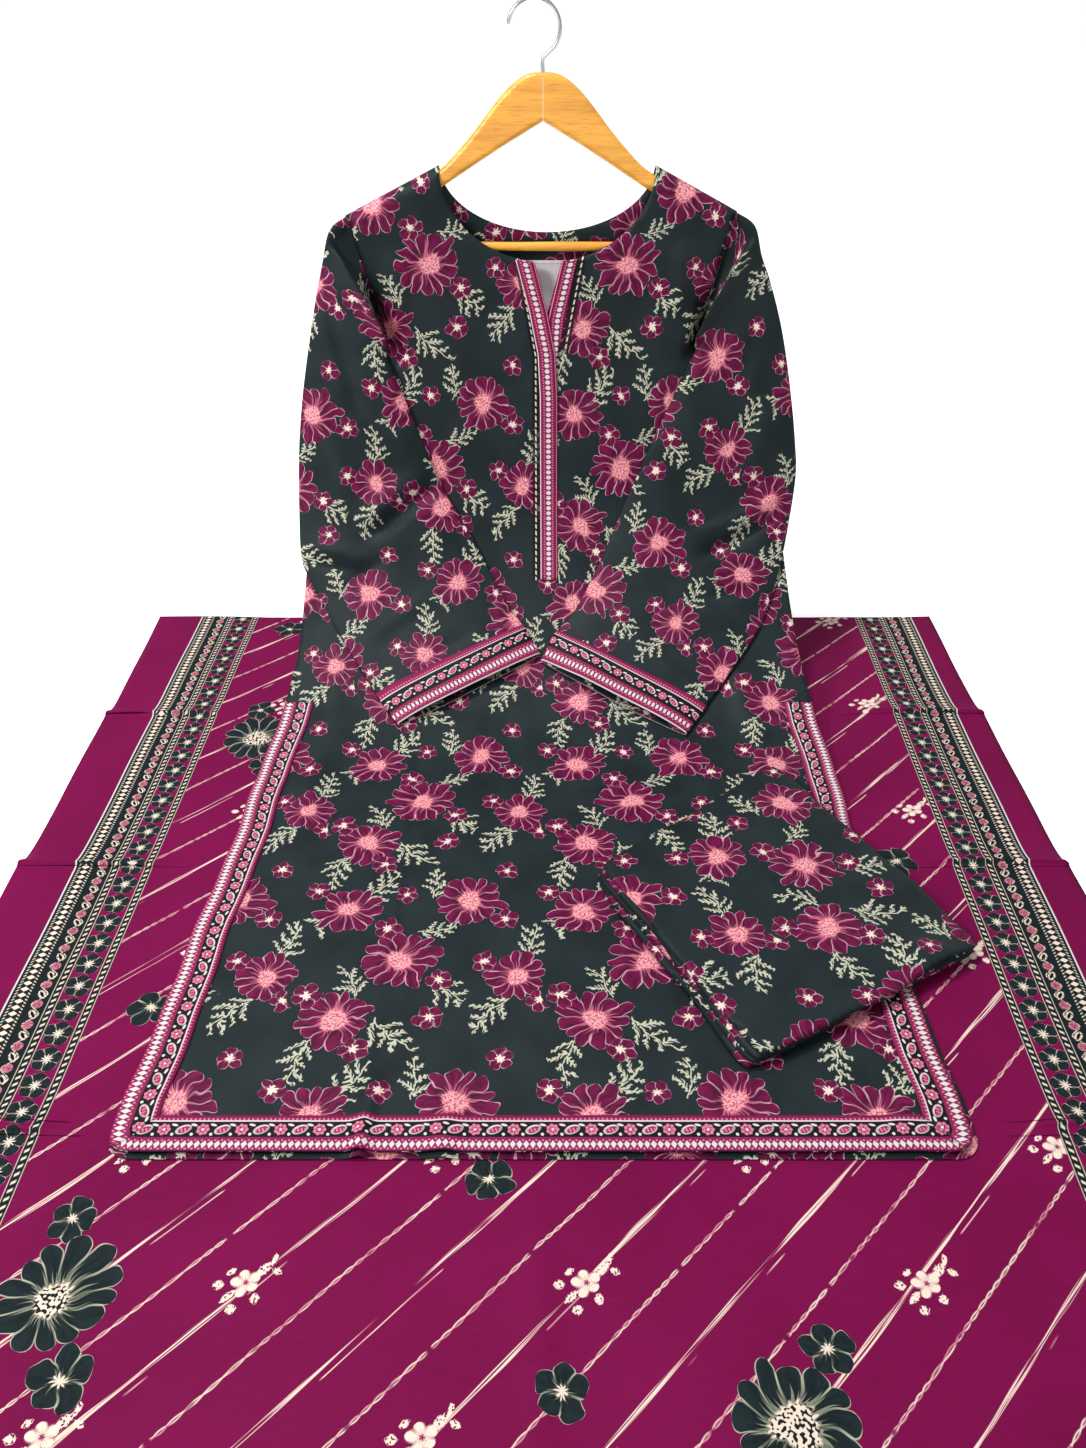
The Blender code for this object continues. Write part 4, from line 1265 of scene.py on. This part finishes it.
def placket_print(colour, along, across):
    """Large white dots with small pink ones between, and a line down each edge."""
    middle = across - PLACKET_WIDTH * 0.52
    pitch = 0.0055
    small = oval(cell(along, pitch / 2, 0.25), abs(middle) - 0.0044, 0.0007, 0.0008)
    return paint(
        colour,
        (small, TRIM_PINK),
        (oval(cell(along, pitch), middle, 0.0021, 0.0025), WHITE),
        (stripe(across, 0.0026, 0.0004, 0.0003), BLACK),
        (stripe(across, 0.001, 0.0005, 0.0003), TRIM_PINK),
        (above(across, PLACKET_WIDTH - 0.0009, 0.0004), WHITE),
    )


def band_print(colour, along, across, grain, on_cuff):
    """A row of white figures, and a black band with flowers and leaves between commas."""
    width = CUFF_LENGTH if on_cuff else BORDER_WIDTH
    from_row = across - width * (0.235 if on_cuff else 0.19)
    middle = width * 0.62
    band_half = width * 0.2
    v = across - middle
    pitch = 0.0046
    u = cell(along, pitch)
    figure = oval(u, from_row, 0.0014, 0.0033) if on_cuff else diamond(u, from_row, 0.0021, 0.0039)
    repeat = 0.027
    from_flower = cell(along, repeat, 0.25)
    from_leaf = cell(along, repeat, -0.25)
    comma = cell(along, repeat / 2, 0.5)
    petals = length_of(joined(from_flower, v))
    ripple = calc("COSINE", calc("ARCTAN2", v, from_flower) * 7.0) * 0.0004
    tilt = math.radians(24)
    vein = oval(cell(from_leaf, 0.0026), v + 0.0004, 0.0007, 0.0019, tilt)
    colour = paint(
        colour,
        (oval(cell(along, pitch, 0.5), abs(from_row) - 0.004, 0.0008, 0.0009), TRIM_PINK),
        (figure, WHITE),
        (oval(cell(along, 0.0031), across - width * 0.93 + 0.0011, 0.0007, 0.001), TRIM_PINK),
        (below(abs(v), band_half, 0.0003), BLACK),
        (below(petals, ripple + 0.0043, 0.0004), TRIM_PINK),
        (below(petals, ripple * -2.0 + 0.0026, 0.0006) * above(grain, 0.45, 0.2), MAGENTA),
        (below(petals, 0.001, 0.0004), WHITE),
        (oval(from_leaf, v, 0.0055, 0.0033, tilt), WHITE),
        (oval(from_leaf - 0.0003, v + 0.0002, 0.0046, 0.0024, tilt), TRIM_MAGENTA),
        (vein * oval(from_leaf, v, 0.0046, 0.003, tilt), TRIM_PINK),
        (oval(comma, v - 0.0036, 0.0023, 0.0009, -0.25), WHITE),
        (oval(comma + 0.0004, v + 0.0038, 0.0011, 0.0012, 0.5), WHITE),
        (stripe(v, band_half + 0.0008, 0.0005, 0.0004), WHITE),
    )
    return blend(below(across, 0.0014, 0.0004), colour, WHITE) if on_cuff else colour


def border_material(name, kind):
    """Printed border: uv runs along it, and across it from its outer edge."""
    mat, uv = fabric_material(name, 0.6, 0.14)
    along, across, _ = split(uv)
    grain = noise(uv, 900.0, 1.0)
    colour = blend(below(grain, 0.46, 0.12) * 0.55, TRIM_MAGENTA, TRIM_DARK)
    if kind == "placket":
        colour = placket_print(colour, along, across)
    else:
        colour = band_print(colour, along, across, grain, kind == "cuff")
    return finished(mat, colour, weave_height(uv) + grain * 0.06, 0.35, 0.0022)


SPRIG_REPEAT = (0.2105, 0.182)
SPRIGS = np.array((
    (-183.5, -815, 23, 0),
    (-67, -902, 23, 0),
)) / MM_AND_DEGREES
SPRIG_LEAVES = (
    # across, up, half length, half width, turn
    (0.42, 0.36, 0.30, 0.13, 0.78),
    (0.66, 0.66, 0.24, 0.07, 1.30),
    (0.78, 0.30, 0.16, 0.10, -0.5),
    (-0.46, 0.30, 0.16, 0.09, 0.60),
    (-0.74, -0.06, 0.17, 0.13, 0.0),
    (-0.42, -0.38, 0.26, 0.10, 0.75),
    (0.32, -0.44, 0.14, 0.15, 0.2),
    (-0.26, -0.72, 0.16, 0.13, 0.3),
)
DARK_REPEAT = (0.888, 0.587)
DARK_DAISIES = np.array((
    (-298, -824, 41.5, 12),
    (141, -897, 42, 40),
)) / MM_AND_DEGREES
DARK_FLOWERS = np.array((
    (-306, -773, 18, 30),
    (-278, -872, 21, 85),
    (168.1, -854.5, 18.5, 10),
    (-36.2, -744.5, 19, 60),
    (10.7, -877.5, 19, 25),
    (-306, -598, 19.5, 0),
    (318.8, -429, 21.5, 45),
)) / MM_AND_DEGREES
BAND_LEFT = -0.35
BAND_RIGHT = 0.383
BAND_SKEW = 0.034
BAND_WIDTH = 0.07
STROKE_RISE = math.radians(44.7)
STROKE_PITCH = 0.036


def rope(colour, along, off, half):
    """A chain of slanting dashes between two fine lines, about off = 0."""
    dash = below(abs(cell(along + off * 0.7, 0.006)), 0.0011, 0.0007) * below(abs(off), half * 0.45, 0.0005)
    edge = stripe(abs(off), half, 0.0003, 0.0004) * 0.75
    return paint(colour, (below(abs(off), half, 0.0004), GROUND_DEEP), (calc("MAXIMUM", dash, edge), BLOSSOM))


def shawl_bands(colour, along, off, grain):
    """Printed bands; off is the distance out from a band's inner edge."""
    runner = off - 0.0187
    colour = paint(colour, (stripe(off, BAND_WIDTH / 2, BAND_WIDTH / 2, 0.0005), GROUND_DEEP),
                   (below(abs(runner), 0.0112, 0.0005), SHAWL))
    found = vector("MULTIPLY_ADD", joined(cell(along, 0.0235), runner), (1 / 0.013, 1 / 0.013, 0.0),
                   (0.0, 0.0, 0.0007))
    colour, _ = flower(colour, found, BAND_FLOWER, BAND_INKS)
    colour = rope(colour, along, off - 0.004, 0.0032)
    colour = rope(colour, along, off - 0.0333, 0.0034)
    vine = off - 0.0445
    repeat = 0.02
    bud = cell(along, repeat, 0.25)
    leaf = cell(along, repeat, -0.25)
    stem = calc("SINE", along * (2 * math.pi / repeat)) * 0.0042
    ladder = off - 0.06
    tooth = cell(along + abs(ladder) * 0.6, 0.0031)
    rungs = below(abs(tooth), 0.0006, 0.0005) * stripe(abs(ladder), 0.0052, 0.001, 0.0004)
    return paint(
        colour,
        (stripe(vine, stem, 0.0006, 0.0004) * below(grain, 0.56, 0.1), BLOSSOM),
        (oval(bud, vine, 0.004, 0.004) * below(grain, 0.62, 0.1), STROKE),
        (oval(bud, vine, 0.0026, 0.0026) * below(grain, 0.46, 0.1), TRIM_MAGENTA),
        (oval(leaf, vine, 0.0048, 0.0027, 0.6) * below(grain, 0.6, 0.1), BLOSSOM),
        (oval(leaf, vine, 0.0034, 0.0012, 0.6), BLACK),
        (diamond(cell(along, 0.0062), ladder, 0.0025, 0.0036), BLOSSOM),
        (rungs * 0.8, BLOSSOM),
        (stripe(off, 0.069, 0.0007, 0.0004), WHITE),
    )


def brush_strokes(plain, x, y):
    """Diagonal lanes over the plain shawl, by turns a dry brush stroke and a thin twisted pair of lines."""
    along, across = turned(x, y, STROKE_RISE)
    across = across + 0.0028
    lane = calc("FLOOR", across * (1.0 / STROKE_PITCH))
    drift = noise(joined(along * 17.0, lane * 7.7), 1.0, 1.0) - 0.5
    off = cell(across, STROKE_PITCH) + drift * 0.0014
    heavy = calc("PINGPONG", lane, 1.0)
    twist = calc("SINE", along * 300.0 + drift * 8.0) * 0.0008
    pair = calc("MAXIMUM", stripe(off, twist, 0.00042, 0.0006), below(abs(off + twist), 0.00042, 0.0006))
    fibres = noise(joined(along * 18.0, across * 1150.0), 1.0, 1.0)
    swell = noise(joined(along * 15.0, lane * 3.3 + 20.0), 1.0)
    brush = below(abs(off), swell * 0.0034 - 0.0004, 0.0005) * above(fibres, 0.43, 0.08)
    echo = stripe(off, -0.0046, 0.0004, 0.0004) * below(swell, 0.37, 0.03)
    thin_share = pair * above(noise(joined(along * 70.0, lane), 1.0, 1.0), 0.34, 0.1)
    stroke = calc("MAXIMUM", calc("MAXIMUM", brush, echo) * heavy, thin_share * (1.0 - heavy))
    return blend(stroke, plain, blend(below(fibres, 0.49, 0.06), BLOSSOM, STROKE))


def sprigs(colour, uv):
    """Small pale sprigs: a flower with ragged leaves about it."""
    found = scattered(uv, SPRIGS, SPRIG_REPEAT)
    colour, _ = flower(colour, vector("MULTIPLY", found, (2.2, 2.2, 1.0)), SPRIG_FLOWER, SPRIG_INKS)
    blotch = noise(uv, 520.0, 1.0)
    ragged = (blotch - 0.5) * 1.2
    x, y, _ = split(found)
    for leaf_x, leaf_y, half_long, half_wide, leaf_turn in SPRIG_LEAVES:
        down, aside = turned(x - leaf_x, y - leaf_y, leaf_turn)
        down = down * (1.0 / half_long)
        leaf = below(down * down + abs(aside) * (1.0 / half_wide), ragged + 0.98, 0.2)
        colour = blend(leaf * below(blotch, 0.62, 0.06), colour, PETAL_WHITE)
    return colour


def shawl_material():
    """Magenta shawl: diagonal brush strokes, sprigs, dark flowers and a band down each side."""
    mat, uv = fabric_material("dupatta print", 0.66, 0.06)
    x, y, _ = split(uv)
    cloudy = noise(uv, 9.0, 3.0)
    grain = noise(uv, 700.0, 1.0)
    slub = noise(vector("MULTIPLY", uv, (60.0, 900.0, 0.0)), 1.0)
    plain = blend(ramp(cloudy, 1.6, slub * 0.6 - 0.6), SHAWL_DEEP, SHAWL)
    colour = sprigs(brush_strokes(plain, x, y), uv)
    colour, _ = flower(colour, unsteady(uv, DARK_FLOWERS, DARK_REPEAT, 65.0), DARK_FLOWER, DARK_INKS)
    colour, disc = flower(colour, unsteady(uv, DARK_DAISIES, DARK_REPEAT, 28.0), DARK_DAISY, DARK_INKS)
    colour = blend(disc * below(noise(uv, 420.0), 0.46, 0.06), colour, GROUND_DEEP)

    band_off = calc("MAXIMUM", BAND_LEFT - x, x - (y * BAND_SKEW + BAND_RIGHT))
    banded = shawl_bands(colour, y, band_off, grain)
    colour = blend(below(band_off, BAND_WIDTH, 0.0004), plain, colour)
    colour = blend(stripe(band_off, BAND_WIDTH / 2, BAND_WIDTH / 2, 0.0004), colour, banded)
    return finished(mat, colour, weave_height(uv) + slub * 0.08, 0.3, 0.002)


def wood_material():
    mat, uv = fabric_material("lacquered wood", 0.36, 0.4, coat_weight=0.35, coat_roughness=0.18)
    grain = noise(vector("MULTIPLY", uv, (10.0, 130.0, 0.0)), 1.0, 3.0, 0.6)
    fine = noise(vector("MULTIPLY", uv, (60.0, 900.0, 0.0)), 1.0, 1.0)
    colour = blend(ramp(grain, 2.2, -0.6), WOOD, WOOD_PALE)
    colour = blend(below(fine, 0.36, 0.08) * 0.35, colour, WOOD_DARK)
    return finished(mat, colour, fine + grain * 0.4, 0.12, 0.0004)


def steel_material():
    mat = new_material("hook wire", {"Metallic": 1.0})
    tree = mat.node_tree
    stretched = vector("MULTIPLY", add_node(tree, "TexCoord", (), 3), (900.0, 900.0, 260.0))
    worn = add_node(tree, "TexNoise", (stretched, None, 1.0, 2.0))
    colour = blend(worn, STEEL_DARK, STEEL)
    rough = calc("MULTIPLY_ADD", worn, 0.25, 0.16)
    tree.links.new(rough.socket, shader_of(mat).inputs["Roughness"])
    return finished(mat, colour, worn, 0.1, 0.0002)


def label_material():
    """Bare woven satin, with a stitched edge."""
    mat, uv = fabric_material("label satin", 0.45, 0.3, sheen_weight=0.05, sheen_roughness=0.45)
    x, s, _ = split(uv)
    rib = calc("SINE", s * 9000.0) * 0.5 + 0.5
    colour = blend(rib * 0.3 + noise(uv, 60.0, 2.0) * 0.4, SATIN_DIM, SATIN)
    x_from, x_to, s_from, s_to = LABEL
    reach_x = abs(x - (x_from + x_to) / 2) - (x_to - x_from) / 2
    reach_s = abs(s - (s_from + s_to) / 2) - (s_to - s_from) / 2
    line = stripe(calc("MAXIMUM", reach_x, reach_s), -0.003, 0.0004, 0.0003)
    stitch = below(abs(cell(x + s, 0.0024)), 0.0008, 0.0003)
    colour = blend(line * stitch, colour, THREAD)
    return finished(mat, colour, rib + line * 2.0, 0.15, 0.0003)


def make_stage():
    """A plain pale floor under the part, which glows a little like a light table."""
    bpy.ops.mesh.primitive_plane_add(size=60.0, location=(0.0, 0.0, -CROWN_HEIGHT - 0.0004))
    floor = bpy.context.object
    floor.name = "table"
    settings = {"Base Color": TABLE_WHITE, "Roughness": 0.8}
    settings.update({"Emission Color": PURE_WHITE, "Emission Strength": TABLE_GLOW})
    floor.data.materials.append(new_material("pale table", settings))


def make_light(name, energy, size, location, aim):
    lamp = bpy.data.lights.new(name, "AREA")
    lamp.energy = energy
    lamp.size = size
    light = add_object(name, lamp)
    light.location = location
    direction = Vector(aim) - Vector(location)
    light.rotation_euler = direction.to_track_quat("-Z", "Y").to_euler()
    light.visible_camera = False


def make_world_and_camera():
    scene = bpy.context.scene
    world = bpy.data.worlds.new("white room")
    world.use_nodes = True
    backdrop = world.node_tree.nodes["Background"]
    backdrop.inputs["Color"].default_value = PURE_WHITE
    backdrop.inputs["Strength"].default_value = ROOM_LIGHT
    scene.world = world
    scene.view_settings.view_transform = "Standard"
    camera_data = bpy.data.cameras.new("photo view")
    camera_data.sensor_width = SENSOR
    camera_data.lens = SENSOR * LENS_SHARE
    camera_data.clip_start = 0.05
    camera = add_object("photo view", camera_data)
    camera.location = CAMERA_PLACE
    camera.rotation_euler = (CAMERA_TILT, 0.0, 0.0)
    scene.camera = camera
    for light in LIGHTS:
        make_light(*light)


def main():
    cloth = printed_material("figured print", False)
    front_cloth = printed_material("figured front print", True)
    trim = border_material("hem border print", "hem")
    cuff_trim = border_material("cuff border print", "cuff")
    placket_trim = border_material("placket print", "placket")
    make_panels(front_cloth, cloth)
    make_hem_borders(trim)
    make_neck_trims(placket_trim)
    make_label(label_material())
    make_sleeve("left", LEFT_SLEEVE, cloth, cuff_trim, (0.03, 0.06))
    make_sleeve("right", RIGHT_SLEEVE, cloth, cuff_trim, (0.12, 0.1))
    make_trousers(cloth)
    make_dupatta(shawl_material())
    wood = wood_material()
    make_arm("arm_left", "hanger_arm_left", -1.0, wood)
    make_arm("arm_right", "hanger_arm_right", 1.0, wood)
    make_rod(wood)
    make_hook(steel_material())
    make_stage()
    make_world_and_camera()


main()
